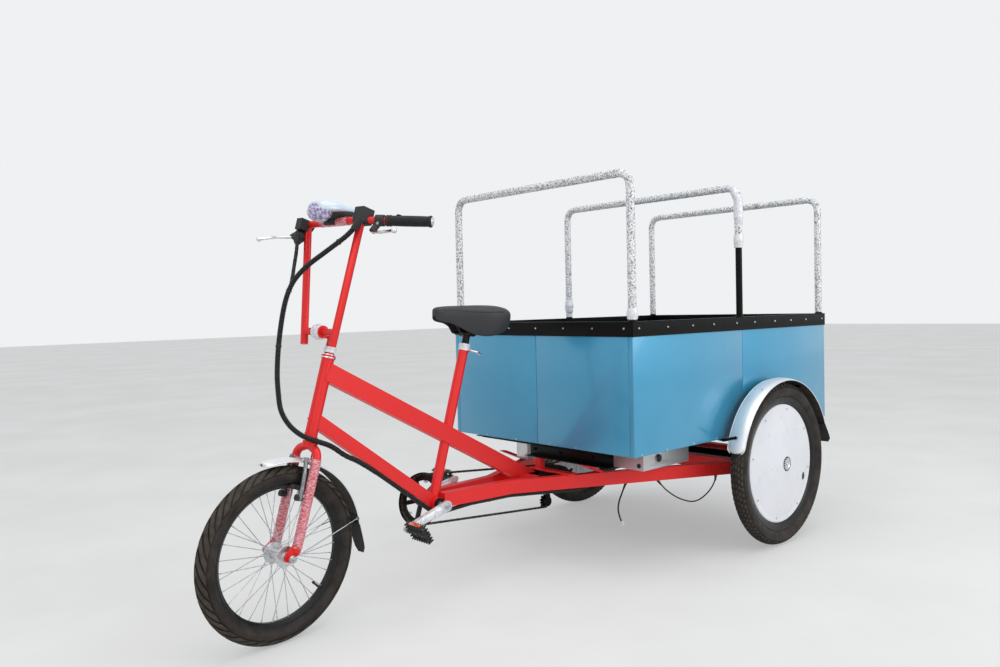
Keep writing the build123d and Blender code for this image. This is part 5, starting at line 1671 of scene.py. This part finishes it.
@dataclass
class RollerChain:
    """A closed half-inch chain round two or three wheels."""

    name: str
    node: str
    circles: Route
    plane_y: float
    height: float = 8.0
    plate: float = 1.2

    def centre_line(self) -> Profile:
        """The line on which the pins lie, going round the wheels.

        Returns:
            Points (x, z) a millimetre apart on the wheels, and the ends of each straight run.
        """
        normals = []
        for (x0, z0, r0), (x1, z1, r1) in zip(self.circles, self.circles[1:] + self.circles[:1]):
            normals.append(atan2(z1 - z0, x1 - x0) + acos((r0 - r1) / hypot(x1 - x0, z1 - z0)))
        line = []
        for index, (x, z, r) in enumerate(self.circles):
            into = normals[index - 1]
            out = normals[index]
            while into < out:
                into += tau
            steps = max(2, round((into - out) * r))
            for n in range(steps + 1):
                angle = into + (out - into) * n / steps
                line.append((x + r * cos(angle), z + r * sin(angle)))
        return line

    def pins(self) -> Profile:
        """Where the pins are, going round the wheels.

        Returns:
            One point (x, z) for each link.
        """
        line = self.centre_line()
        ends = line[1:] + line[:1]
        gaps = [dist(a, b) for a, b in zip(line, ends)]
        links = 2 * round(sum(gaps) / CHAIN_PITCH / 2)
        pitch = sum(gaps) / links
        found = []
        gone = 0.0
        for start, end, gap in zip(line, ends, gaps):
            while len(found) < links and len(found) * pitch <= gone + gap:
                share = (len(found) * pitch - gone) / gap
                found.append(tuple(a + share * (b - a) for a, b in zip(start, end)))
            gone += gap
        return found

    def plate_pair(self, spread: float) -> bpy.types.Mesh:
        """Two figure-of-eight plates, one pitch long.

        Args:
            spread: How far apart their outer faces are, in millimetres.

        Returns:
            The mesh of the pair.
        """
        work = Workpiece()
        half = CHAIN_PITCH / 2
        radius = self.height / 2
        outline = []
        for end, first in ((half, -70), (-half, 110)):
            for step in range(5):
                outline.append(around(radius, first + step * 35) + Vector((end, 0, 0)))
            outline.append(Vector((0, 0, copysign(radius * 0.72, end))))
        for low in (spread / 2 - self.plate, -spread / 2):
            ring = [work.mesh.verts.new((point.x, low, point.z)) for point in outline]
            work.extrude(bmesh.ops.contextual_create(work.mesh, geom=ring)["faces"], self.plate)
        bmesh.ops.recalc_face_normals(work.mesh, faces=work.mesh.faces)
        return work.to_data(f"{self.name}_plates_{spread:.0f}")

    def build(self) -> None:
        """Lay the plates, the rollers and the pins along the route."""
        pairs = (self.plate_pair(7.9), self.plate_pair(5.3))
        work = Workpiece()
        y = self.plane_y
        pins = self.pins()
        for number, (x0, z0) in enumerate(pins):
            x1, z1 = pins[(number + 1) % len(pins)]
            turn = turned(-degrees(atan2(z1 - z0, x1 - x0)))
            work.stamp(pairs[number % 2], moved((x0 + x1) / 2, y, (z0 + z1) / 2) @ turn)
            work.bar((x0, y - 2.6, z0), (x0, y + 2.6, z0), 7.4, sides=8)
            work.bar((x0, y - 4.6, z0), (x0, y + 4.6, z0), 3.4, sides=6)
        work.finish(self.name, CHAIN_STEEL, self.node, smooth=40, slot="dark_steel")


@dataclass
class Crankset:
    """The arms in their film, the chainring with its bolts, and the pedals."""

    bracket: Point = (1312.0, 0.0, 309.0)
    length: float = 165.0
    drop: float = 15.3
    arm_y: float = 76.0
    pedal_y: float = 136.0
    pedal_turn: float = 60.0
    bolt_r: float = 62.0

    def build(self) -> None:
        """Make the arms, the ring and both pedals."""
        smooth_copy("crank_arms", CAST_ALLOY, smooth=40, rounding=1.6)
        smooth_copy("chainring", BLACK_STEEL, smooth=30)
        self.make_film()
        self.make_bolts()
        for side in Side:
            self.make_pedal(side)

    def arm(self, side: Side, reach: float, y: float = 0.0) -> Vector:
        """A point along an arm, a distance from the bracket's middle."""
        return around(reach, -self.drop if side is Side.LEFT else 180 - self.drop, side * y)

    def make_film(self) -> None:
        """Thick white film round both arms, slack at the pedal's end."""
        work = Workpiece(body="crankset")
        for side in Side:
            centre = Vector(self.bracket) + self.arm(side, 0, self.arm_y)
            way = self.arm(side, 1)
            route = split_route([centre + way * 20, centre + way * 152], 5.0)
            radii = []
            for point in route:
                share = ((point - centre).dot(way) - 20) / 132
                near_end = max(0.0, 1 - 7 * min(share, 1 - share))
                radii.append((15.5 - 5.5 * share) * (0.35 + 0.65 * sqrt(max(0.0, 1 - near_end ** 2))))
            for ring in work.wrap(route, radii, 2.6, 9.0, 21.0 + side, 24, 28.0):
                for vert in ring:
                    reach = (vert.co - centre).dot(way)
                    vert.co.y = centre.y + (vert.co.y - centre.y) * (0.66 - 0.08 * reach / 152)
        work.finish("crank_film", WHITE_FILM, smooth=75)

    def make_bolts(self) -> None:
        """The ring's bolts and the arms' end bolts."""
        bolts = Workpiece(CHASSIS @ moved(*self.bracket), "crankset")
        for number in range(5):
            angle = number * 72 + 36
            bolts.bar(around(self.bolt_r, angle, -68.5), around(self.bolt_r, angle, -55), 9)
        for side in Side:
            bolts.hexagon((0, side * 81.5, 0), (0, side, 0), 13, 5)
            bolts.bar((0, side * 81.5, 0), (0, side * 83.5, 0), 24, sides=28)
        bolts.finish("crank_bolts", ZINC)

    def make_pedal(self, side: Side) -> None:
        """One moulded pedal: a barrel, two treads with studs, end plates and reflectors.

        Args:
            side: The side it is on.
        """
        name = side.word
        centre = Vector(self.bracket) + self.arm(side, self.length, self.pedal_y)
        place = CHASSIS @ moved(*centre) @ turned(-self.pedal_turn)
        work = Workpiece(place, f"pedal_{name}")
        work.pipe([(0, y, 0) for y in (-45, -43, -38, -20, 20, 38, 43, 45)],
                  [8, 11, 11, 9.5, 9.5, 11, 11, 8], 20)
        for x in (-28, 28):
            work.block((x - 2, -45, -6), (x + 2, 45, 6), 1.2)
            for y in range(-42, 43, 12):
                work.block((x - 2, y - 2.5, -11), (x + 2, y + 2.5, 11), 0.8)
        for y in (-44, -15, 15, 44):
            work.block((-28, y - 1.6, -5), (28, y + 1.6, 5), 1.0)
        for y in (-44, 44):
            for x in (-17, -6, 6, 17):
                work.block((x - 3, y - 1.6, -10.5), (x + 3, y + 1.6, 10.5), 0.8)
        work.finish(f"pedal_body_{name}", BLACK_PLASTIC, f"pedal_{name}", smooth=40, slot="black_plastic")
        lens = Workpiece(place, f"pedal_{name}")
        for x in (-31.4, 31.4):
            lens.block((x - 0.9, -28, -5.5), (x + 0.9, 28, 5.5), 0.6)
        lens.finish(f"pedal_reflectors_{name}", AMBER)


@dataclass
class RearDrive:
    """Motor, sprockets, plates, tensioner, axle housing and both chains."""

    motor_at: tuple[float, float] = (745.0, 303.0)
    idler_at: tuple[float, float] = (722.0, 201.0)
    ring_at: tuple[float, float] = (1312.0, 309.0)
    axle_z: float = 318.0
    ring_plane: float = -58.0
    drive_plane: float = -72.0
    ring_teeth: int = 42
    pedal_pinion: int = 20
    drive_pinion: int = 14
    axle_teeth: int = 32

    def build(self) -> None:
        """Make the motor, the sprockets, the axle and the chains."""
        self.make_motor()
        self.make_plates()
        self.make_axle()
        pedal = ((*self.motor_at, pitch_radius(self.pedal_pinion)),
                 (*self.ring_at, pitch_radius(self.ring_teeth)), (*self.idler_at, 24.0))
        drive = ((0.0, self.axle_z, pitch_radius(self.axle_teeth)),
                 (*self.motor_at, pitch_radius(self.drive_pinion)))
        RollerChain("pedal_chain_links", "pedal_chain", pedal, self.ring_plane).build()
        RollerChain("drive_chain_links", "drive_chain", drive, self.drive_plane).build()

    def make_motor(self) -> None:
        """The turned motor case with its end caps, its shaft and its two sprockets."""
        x, z = self.motor_at
        place = CHASSIS @ moved(x, 0, z)
        case = Workpiece(place)
        case.lathe([(0, -34), (40, -34), (46, -31), (50, -27), (52, -22), (52, 24), (50.6, 25), (50.6, 28),
                    (52, 29), (52, 52), (50, 57), (45, 61), (45, 66), (38, 70), (20, 72), (20, 74), (0, 74)],
                   72)
        # The case's dark grey is painted shade from the box above it.
        case.finish("motor_case", MOTOR_CASE_PAINTED_SHADE, "motor", smooth=30, slot="cast_alloy")
        rings = Workpiece(place)
        rings.lathe([(50.4, -12), (52.3, -11.4), (52.3, -6.6), (50.4, -6)], 72)
        rings.lathe([(50.2, 24.6), (52.3, 25), (52.3, 28), (50.2, 28.4)], 72)
        for angle in (45, 135, 225, 315):
            rings.hexagon(around(42, angle, 60), (0, 1, 0), 8, 5)
        rings.bar((-38, 58, 24), (-52, 62, 34), 13, 10, sides=16)
        rings.finish("motor_bands", BLACK_PLASTIC)
        shaft = Workpiece(place)
        shaft.bar((0, -80, 0), (0, -34, 0), 17, sides=28)
        add_sprocket(shaft, self.pedal_pinion, (0, self.ring_plane, 0))
        add_sprocket(shaft, self.drive_pinion, (0, self.drive_plane, 0))
        shaft.hexagon((0, -80, 0), (0, -1, 0), 13, 5)
        shaft.finish("motor_sprockets", CHAIN_STEEL, smooth=30)

    def make_plates(self) -> None:
        """The motor's plates with their bolts, and the tensioner's toothed idler."""
        smooth_copy("motor_plates", BLACK_ENAMEL, rounding=0.8)
        work = Workpiece()
        for y, way in ((-40, -1), (80, 1)):
            for x, z in ((768, 275), (720, 322), (856, 318), (772, 322)):
                work.hexagon((x, y, z), (0, way, 0), 13, 6)
        work.finish("drive_bolts", ZINC)
        idler = Workpiece()
        x, z = self.idler_at
        add_sprocket(idler, 12, (x, self.ring_plane, z), 5.0)
        idler.hexagon((x, self.ring_plane - 4, z), (0, -1, 0), 13, 5)
        idler.finish("idler_sprocket", BLACK_STEEL)

    def make_axle(self) -> None:
        """The axle housing, the big sprocket and the flange bearings' bolts."""
        smooth_copy("rear_axle_housing", BLACK_ENAMEL, smooth=40, rounding=1.0)
        work = Workpiece()
        add_sprocket(work, self.axle_teeth, (0, self.drive_plane, self.axle_z), 3.0)
        for side in Side:
            for x in (-34, 34):
                for z in (-24, 24):
                    work.hexagon((x, side * 464.5, self.axle_z + z), (0, side, 0), 13, 6)
        work.finish("axle_sprocket", CHAIN_STEEL, smooth=30)


@dataclass
class Lead:
    """A loose cord along its route, with a plain or ribbed sheath."""

    name: str
    nodes: tuple[str, ...]
    body: str
    diameter: float
    length: float
    route: Route
    far_end: str = "object"
    rib_mm: float = 0.0
    rib_pitch: float = 5.0

    def build(self, pieces: Sequence[str] = ()) -> bpy.types.Object:
        """Make the cord's tube.

        Args:
            pieces: The separate pieces on it; not used.

        Returns:
            The tube.
        """
        line = spline_points(self.route)
        fine = split_route(line, 2.2) if self.rib_mm else line
        work = Workpiece(body=self.body)
        gone = 0.0
        radii = []
        for index, point in enumerate(fine):
            gone += (point - fine[index - 1]).length if index else 0.0
            wave = sin(gone / self.rib_pitch * tau) if self.rib_mm else 0.0
            radii.append((self.diameter - self.rib_mm + wave * self.rib_mm) / 2)
        work.pipe(fine, radii, 12)
        tube = work.finish(self.name, CABLE_SHEATH, *self.nodes, smooth=60, slot="black_plastic")
        return tube


@dataclass
class Harness:
    """The cable bundle from the handlebar to the lower beam, and its branch from the right lever."""

    # Control points, in millimetres from the rear axle
    trunk: Route = (
        (1675, 136, 1193), (1685, 120, 1175), (1711, 90, 1148), (1734, 60, 1123), (1763, 30, 1095),
        (1784, 0, 1064), (1802, -10, 1035), (1817, -20, 989), (1832, -20, 925), (1847, -15, 847),
        (1858, -5, 772), (1859, 2, 721), (1859, 10, 675), (1844, 20, 637), (1824, 34, 610),
        (1796, 40, 590), (1757, 41, 574), (1708, 35, 554), (1658, 25, 516), (1603, 17, 491),
        (1541, 15, 446.4),
    )
    branch: Route = (
        (1714, -120, 1209), (1735, -90, 1151), (1763, -60, 1094), (1781, -38, 1060), (1798.3, -15, 1038.7),
    )

    def build(self) -> None:
        """Make the trunk's sleeve, held fixed, and the branch."""
        tube = Lead("harness_sleeve", ("harness_upper", "harness_lower"), "steering", 17.0, 1029.0,
                    self.trunk, rib_mm=2.0, rib_pitch=5.6).build()
        tube.parent = None
        tube.matrix_world = Matrix.Identity(4)
        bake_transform(tube)
        Lead("harness_branch_sleeve", ("harness_branch",), "steering", 12.0, 219.0, self.branch,
             rib_mm=1.4, rib_pitch=3.8).build()
        self.make_ties()

    def make_ties(self) -> None:
        """Nylon ties with their heads round the bundle, above the blend."""
        work = Workpiece(body="steering")
        line = spline_points(self.trunk)
        for share in (0.06, 0.2, 0.31, 0.44):
            index = round(share * (len(line) - 1))
            at = line[index]
            way = (line[index + 1] - line[index - 1]).normalized()
            work.bar(at - way * 1.8, at + way * 1.8, 18.2, sides=20)
            out = way.cross(Vector((1, 0, 0.3))).normalized()
            work.block((-2.5, -2.5, -2.5), (2.5, 2.5, 2.5), 0.5, moved(*(at + out * 9.8)))
        work.finish("harness_ties", BLACK_PLASTIC)


@dataclass
class UnderBox:
    """The battery tray, the controller, the conduit and the two leads under the box."""

    tray: Profile = ((373, 647), (100, 365), (360, 443))
    controller: Profile = ((690, 780), (-150, -90), (365, 443))
    fins: int = 7
    loop: Route = (
        (485, 304, 294), (463, 314, 264), (437, 327, 240), (410, 339, 221), (383, 353, 208), (355, 366, 200),
        (327, 379, 205), (299, 392, 224), (279, 402, 247), (265, 409, 273), (262, 410, 295),
    )
    drop: Route = (
        (603, 247, 294.5), (611, 243, 275), (619, 239, 253), (628, 235, 232), (633, 233, 206),
        (630, 234, 179), (622, 238, 156),
    )
    # Ties of the conduit and glands of the leads, as (place, way)
    ties: Sequence[Route] = (
        ((1430, 15, 361.6), (0.796, 0, 0.605)), ((1100, 46, 288.9), (1, -0.07, 0)),
        ((900, 105, 288.9), (0.9, -0.43, 0)),
    )
    glands: Sequence[Route] = (
        ((485, 304, 294), (-0.57, 0.26, -0.78)), ((262, 410, 295), (0.13, -0.04, -0.99)),
        ((603, 247, 294.5), (0.37, -0.19, -0.91)),
    )

    def build(self) -> None:
        """Make each of them."""
        self.make_tray()
        self.make_controller()
        self.make_conduit()
        Lead("loop_lead_sheath", ("loop_lead",), "frame", 5.0, 327.0, self.loop).build()
        self.make_plug()
        drop = Lead("drop_lead_sheath", ("drop_lead",), "frame", 6.0, 146.0, self.drop, "plug")
        drop.build(("lead_plug",))
        self.make_glands()

    def make_tray(self) -> None:
        """The folded tray with its hem, its key switch and its charging socket."""
        (x0, x1), (y0, y1), (z0, z1) = self.tray
        smooth_copy("battery_tray", CAST_ALLOY, rounding=1.5)
        work = Workpiece()
        work.bar((562, y1 + 4, 397), (562, y1 + 7, 397), 29, 27, sides=36)
        work.bar((562, y1 + 6, 397), (562, y1 + 9, 397), 16, sides=28)
        work.bar((647, y1 - 20, 377), (650, y1 - 20, 377), 17, 15, sides=32)
        for x in (395, 510, 625):
            work.hexagon((x, y1, 430), (0, 1, 0), 8, 4)
        work.finish("tray_socket", BLACK_PLASTIC)
        seams = Workpiece()
        seams.block((x0 - 1.5, y0 - 1.5, z1 - 12), (x1 + 1.5, y1 + 1.5, z1 - 2), 1.0)
        seams.block((x0 + 12, y1 - 0.5, z0 + 8), (x1 - 12, y1 + 1.2, z0 + 11), 0.4)
        seams.finish("tray_hem", CAST_ALLOY)

    def make_controller(self) -> None:
        """The controller's case with its cooling fins."""
        (x0, x1), (y0, y1), (z0, z1) = self.controller
        work = Workpiece()
        work.block((x0, y0, z0 + 8), (x1, y1, z1), 2.0)
        for number in range(self.fins):
            y = y0 + 3 + number * (y1 - y0 - 6) / (self.fins - 1)
            work.block((x0 + 2, y - 1.4, z0), (x1 - 2, y + 1.4, z0 + 10), 0.5)
        work.finish("controller_case", CAST_ALLOY, "controller", slot="black_plastic")

    def make_conduit(self) -> None:
        """The corrugated conduit along the frame and its ties."""
        smooth_copy("cable_duct", CABLE_SHEATH, smooth=60)
        work = Workpiece()
        for place, way in self.ties:
            half = Vector(way).normalized() * 2
            work.bar(Vector(place) - half, Vector(place) + half, 16, sides=20)
        work.finish("conduit_ties", BLACK_PLASTIC)

    def make_glands(self) -> None:
        """The rubber glands at the leads' ends."""
        work = Workpiece()
        for place, way in self.glands:
            foot = Vector(place)
            along = Vector(way).normalized()
            work.bar(foot + Vector((0, 0, 1.5)), foot + along * 4, 12, 11, sides=20)
            work.bar(foot + along * 4, foot + along * 22, 9.5, 6.8, sides=20)
        work.finish("lead_glands", BLACK_RUBBER, smooth=40)

    def make_plug(self) -> None:
        """The white nylon plug on the end of the hanging lead."""
        work = Workpiece()
        foot = Vector(self.drop[-1])
        along = (foot - Vector(self.drop[-2])).normalized()
        work.bar(foot, foot + along * 3, 8.5, 12, sides=20)
        work.bar(foot + along * 3, foot + along * 20, 13.6, sides=4)
        work.finish("lead_plug", WHITE_NYLON, "drop_lead_plug", rounding=0.8, slot="white_plug")


@dataclass
class Saddle:
    """The stitched saddle with its crowned top, piped seam, rails, clamp and post."""

    tail_x: float = 1005.0
    top_z: float = 966.0
    # Sections as (x from the tail, half width, drop of the crown, depth)
    sections: Route = (
        (-2, 72, 24, 46), (14, 94, 9, 78), (50, 101, 2, 104), (100, 90, 0, 114), (145, 64, 0, 106),
        (185, 42, 1, 82), (220, 31, 1, 60), (255, 26, 3, 54), (274, 19, 6, 44), (281, 11, 12, 32),
    )
    # Half of a section as (share of the half width, share of the depth), from the crown to the underside
    outline: Profile = (
        (0.0, 0.035), (0.22, 0.0), (0.55, 0.015), (0.84, 0.09), (0.97, 0.22), (1.0, 0.34), (0.97, 0.62),
        (0.84, 0.94), (0.74, 1.0), (0.66, 0.9), (0.52, 0.6), (0.0, 0.58),
    )
    seam_place: int = 4
    clamp_z: float = 872.0
    collar_z: float = 824.0
    post_lean: float = 16.7

    def build(self) -> None:
        """Make the pad, its piping and what carries it."""
        self.make_pad()
        self.make_piping()
        self.make_base()
        self.make_post()

    def point(self, section: Sequence[float], place: int, side: int) -> Vector:
        """A point of the outline on one half of a section.

        Args:
            section: The section's row.
            place: Which point of the outline.
            side: 1 for the left half and -1 for the right.

        Returns:
            The point, in millimetres.
        """
        x, half, drop, depth = section
        across, down = self.outline[place]
        return Vector((self.tail_x + x, side * half * across, self.top_z - drop - depth * down))

    def make_pad(self) -> None:
        """Bridge the sections into a closed pad and subdivide it."""
        work = Workpiece()
        last = len(self.outline) - 1
        around_pad = [(n, 1) for n in range(last + 1)] + [(n, -1) for n in range(last - 1, 0, -1)]
        work.loft([[self.point(section, n, side) for n, side in around_pad] for section in self.sections])
        pad = work.finish("saddle_pad", SADDLE_VINYL, "saddle", smooth=180, slot="saddle_vinyl")
        soft = pad.modifiers.new("soft", "SUBSURF")
        soft.levels = 3
        soft.render_levels = 3

    def make_piping(self) -> None:
        """The piped seam where the top and the skirt are stitched together."""
        work = Workpiece()
        for side in Side:
            seam = [self.point(section, self.seam_place, side) for section in self.sections[2:-2]]
            work.pipe(spline_points(seam), 1.2, 8)
        work.finish("saddle_piping", SADDLE_VINYL, smooth=60)

    def make_base(self) -> None:
        """The springs and bolts under the tail."""
        work = Workpiece()
        for side in Side:
            foot = Vector((1075, side * 40, 874))
            coil = [foot + Vector((9 * cos(n * 0.5), 9 * sin(n * 0.5), n * 0.42)) for n in range(62)]
            work.pipe(coil, 1.9, 8)
            work.bar(foot + Vector((0, 0, -8)), foot + Vector((0, 0, 30)), 7, sides=14)
            work.bar(foot + Vector((0, 0, -3)), foot + Vector((0, 0, -1)), 24, sides=28)
            work.hexagon(foot + Vector((0, 0, -10)), (0, 0, 1), 13, 7)
            work.bar((1075, side * 22, 872), (1075, side * 44, 872), 7, sides=14)
        work.finish("saddle_springs", ZINC, smooth=40)

    def on_post(self, z: float) -> Vector:
        """The middle of the post at a height, the post leaning back from the bracket."""
        return Vector((1312 - tan(radians(self.post_lean)) * (z - 309), 0, z))

    def make_post(self) -> None:
        """The post and rails, the clamp's bolt, the film collar and the quick-release lever."""
        smooth_copy("seat_post", BLACK_STEEL, smooth=40, rounding=0.6)
        up = around(1, 90 + self.post_lean)
        top = self.on_post(self.collar_z)
        collar = Workpiece()
        collar.wrap(split_route([top - up * 15, top + up * 8], 4.0), 17.4, 3.4, 9.0, 31.0, 24, 20.0)
        collar.finish("seat_collar_film", WHITE_FILM, smooth=75)
        lever = Workpiece()
        root = top - up * 14 + Vector((-8, 20, 0))
        lever.bar(root, root + Vector((0, 16, 0)), 12, sides=20)
        tip = root + Vector((4, 14, 0))
        handle = [tip, tip + Vector((-20, 8, -6)), tip + Vector((-38, 4, -16))]
        lever.pipe(rounded_route(handle, 12), 4.2, 12)
        lever.finish("seat_lever", CHROME, smooth=45)
        bolt = Workpiece()
        for side in Side:
            bolt.hexagon(self.on_post(self.clamp_z) + Vector((0, side * 32, 0)), (0, side, 0), 14, 7, 5)
        bolt.finish("seat_clamp_nuts", ZINC)


@dataclass
class Studio:
    """A pale floor, soft light all round and the camera where the photographer stood."""

    camera_at: Point = (2.1590, 2.1766, 0.9542)
    yaw: float = 227.799
    pitch: float = -1.796
    roll: float = -1.323
    lens_mm: float = 29.492
    floor_size: float = 60.0
    floor_lift: float = 0.4
    backdrop: str = "#EFF1F2"
    # Lamps as (name, place, size, watts): above, before the rider and behind
    lamps: Sequence[tuple[str, Point, float, float]] = (
        ("top_light", (0.6, 0.8, 4.6), 4.5, 82.0), ("front_light", (4.2, 2.4, 2.6), 3.0, 24.0),
        ("side_light", (-1.6, 5.0, 2.6), 3.5, 84.0),
    )

    def build(self) -> None:
        """Make the camera, the floor, the world and the lamps."""
        self.make_camera()
        self.make_floor()
        self.make_world()
        self.make_lamps()
        LOG.info("studio ready")

    def make_camera(self) -> None:
        """Point the camera along the solved yaw, pitch and roll."""
        data = bpy.data.cameras.new("camera")
        data.sensor_width = 36.0
        data.lens = self.lens_mm
        data.dof.use_dof = False
        data.clip_end = 200
        camera = bpy.data.objects.new("camera", data)
        bpy.context.scene.collection.objects.link(camera)
        aim = turned(self.yaw - 90, "Z") @ turned(90 + self.pitch, "X") @ turned(self.roll, "Z")
        camera.matrix_world = moved(*self.camera_at) @ aim
        bpy.context.scene.camera = camera

    def make_floor(self) -> None:
        """Lay a pale floor that the camera and the metal see as near white."""
        mesh = bpy.data.meshes.new("floor")
        shape = bmesh.new()
        bmesh.ops.create_grid(shape, x_segments=1, y_segments=1, size=self.floor_size / 2)
        shape.to_mesh(mesh)
        shape.free()
        floor_piece = bpy.data.objects.new("floor", mesh)
        bpy.context.scene.collection.objects.link(floor_piece)
        material = STUDIO_FLOOR.material()
        self.lighten(material.node_tree)
        mesh.materials.append(material)

    def seen(self, tree: Tree) -> Socket:
        """Whether the camera, a mirror or glass sees the surface.

        Args:
            tree: The node tree.

        Returns:
            A socket that is 1 where one of them does and 0 elsewhere.
        """
        path = add_node(tree, "ShaderNodeLightPath")
        direct = add_node(tree, "ShaderNodeMath", {"operation": "MAXIMUM"},
                          {0: path.outputs["Is Camera Ray"], 1: path.outputs["Is Transmission Ray"]})
        return add_node(tree, "ShaderNodeMath", {"operation": "MAXIMUM"},
                        {0: direct.outputs[0], 1: path.outputs["Is Glossy Ray"]}).outputs[0]

    def lighten(self, tree: Tree) -> None:
        """Let the floor look paler than it is, and keep its shadows.

        Args:
            tree: The floor's node tree.
        """
        output = next(node for node in tree.nodes if node.type == "OUTPUT_MATERIAL")
        shader = next(node for node in tree.nodes if node.type == "BSDF_PRINCIPLED")
        pale = add_node(tree, "ShaderNodeEmission", {"Color": srgb(self.backdrop)})
        share = add_node(tree, "ShaderNodeMath", {"operation": "MULTIPLY", 1: self.floor_lift},
                         {0: self.seen(tree)})
        mix = add_node(tree, "ShaderNodeMixShader",
                       links={0: share.outputs[0], 1: shader.outputs[0], 2: pale.outputs[0]})
        tree.links.new(mix.outputs[0], output.inputs["Surface"])

    def make_world(self) -> None:
        """A soft sky, which the camera, metal and glass see as pale."""
        world = bpy.data.worlds.new("studio")
        bpy.context.scene.world = world
        world.use_nodes = True
        tree = world.node_tree
        tree.nodes.clear()
        light = add_node(tree, "ShaderNodeBackground", {"Color": srgb("#EDF1F5"), "Strength": 0.72})
        shown = add_node(tree, "ShaderNodeBackground", {"Color": srgb(self.backdrop)})
        mix = add_node(tree, "ShaderNodeMixShader",
                       links={0: self.seen(tree), 1: light.outputs[0], 2: shown.outputs[0]})
        add_node(tree, "ShaderNodeOutputWorld", links={"Surface": mix.outputs[0]})

    def make_lamps(self) -> None:
        """Three broad soft lamps, aimed at the middle of the vehicle."""
        for name, place, size, watts in self.lamps:
            data = bpy.data.lights.new(name, "AREA")
            data.shape = "DISK"
            data.size = size
            data.energy = watts
            lamp = bpy.data.objects.new(name, data)
            bpy.context.scene.collection.objects.link(lamp)
            aim = Vector((0, 0, 0.4)) - Vector(place)
            lamp.matrix_world = Matrix.Translation(place) @ aim.to_track_quat("-Z", "Y").to_matrix().to_4x4()


def build_wheels() -> None:
    """Make the three wheels and the rear cover discs."""
    hub = ((5.3, -44), (14, -44), (14, -34), (31, -33), (31, -29), (17, -25), (17, 25), (31, 29), (31, 33),
           (14, 34), (14, 44), (5.3, 44))
    SpokedWheel("front", FRONT_WHEEL, 514.0, 54.0, 420.0, 28.0, 18.0, hub, 27.0, 31.0, Tread.CHEVRON, 160,
                224.0).build()
    hub = ((0, -69), (10, -69), (10, -30), (32, -30), (46, -29), (46, -25), (30, -21), (30, 21), (46, 25),
           (46, 29), (24, 30), (20, 33), (0, 33))
    for side in Side:
        centre, _ = joint_place(f"rear_wheel_{side.word}_spin")
        mirror = turned(0 if side is Side.LEFT else 180, "Z")
        place = Matrix.Translation(centre) @ mirror @ Matrix.Scale(MM, 4)
        SpokedWheel(f"rear_{side.word}", place, 636.0, 62.0, 520.0, 38.0, 28.0, hub, 41.0, 27.0,
                    Tread.KNOBBY, 252, 205.0).build()
        CoverDisc(side, place).build()


def main() -> None:
    """Build every piece in order."""
    logging.basicConfig(level=logging.INFO, format="%(name)s: %(message)s")
    bpy.context.scene.view_settings.view_transform = "Standard"
    Studio().build()
    Harness().build()
    UnderBox().build()
    build_wheels()
    FrontGuard().build()
    RearGuards().build()
    CargoBox().build()
    Hoops().build()
    Frame().build()
    Fork().build()
    Handlebar().build()
    Crankset().build()
    RearDrive().build()
    Saddle().build()


if __name__ == "__main__":
    main()
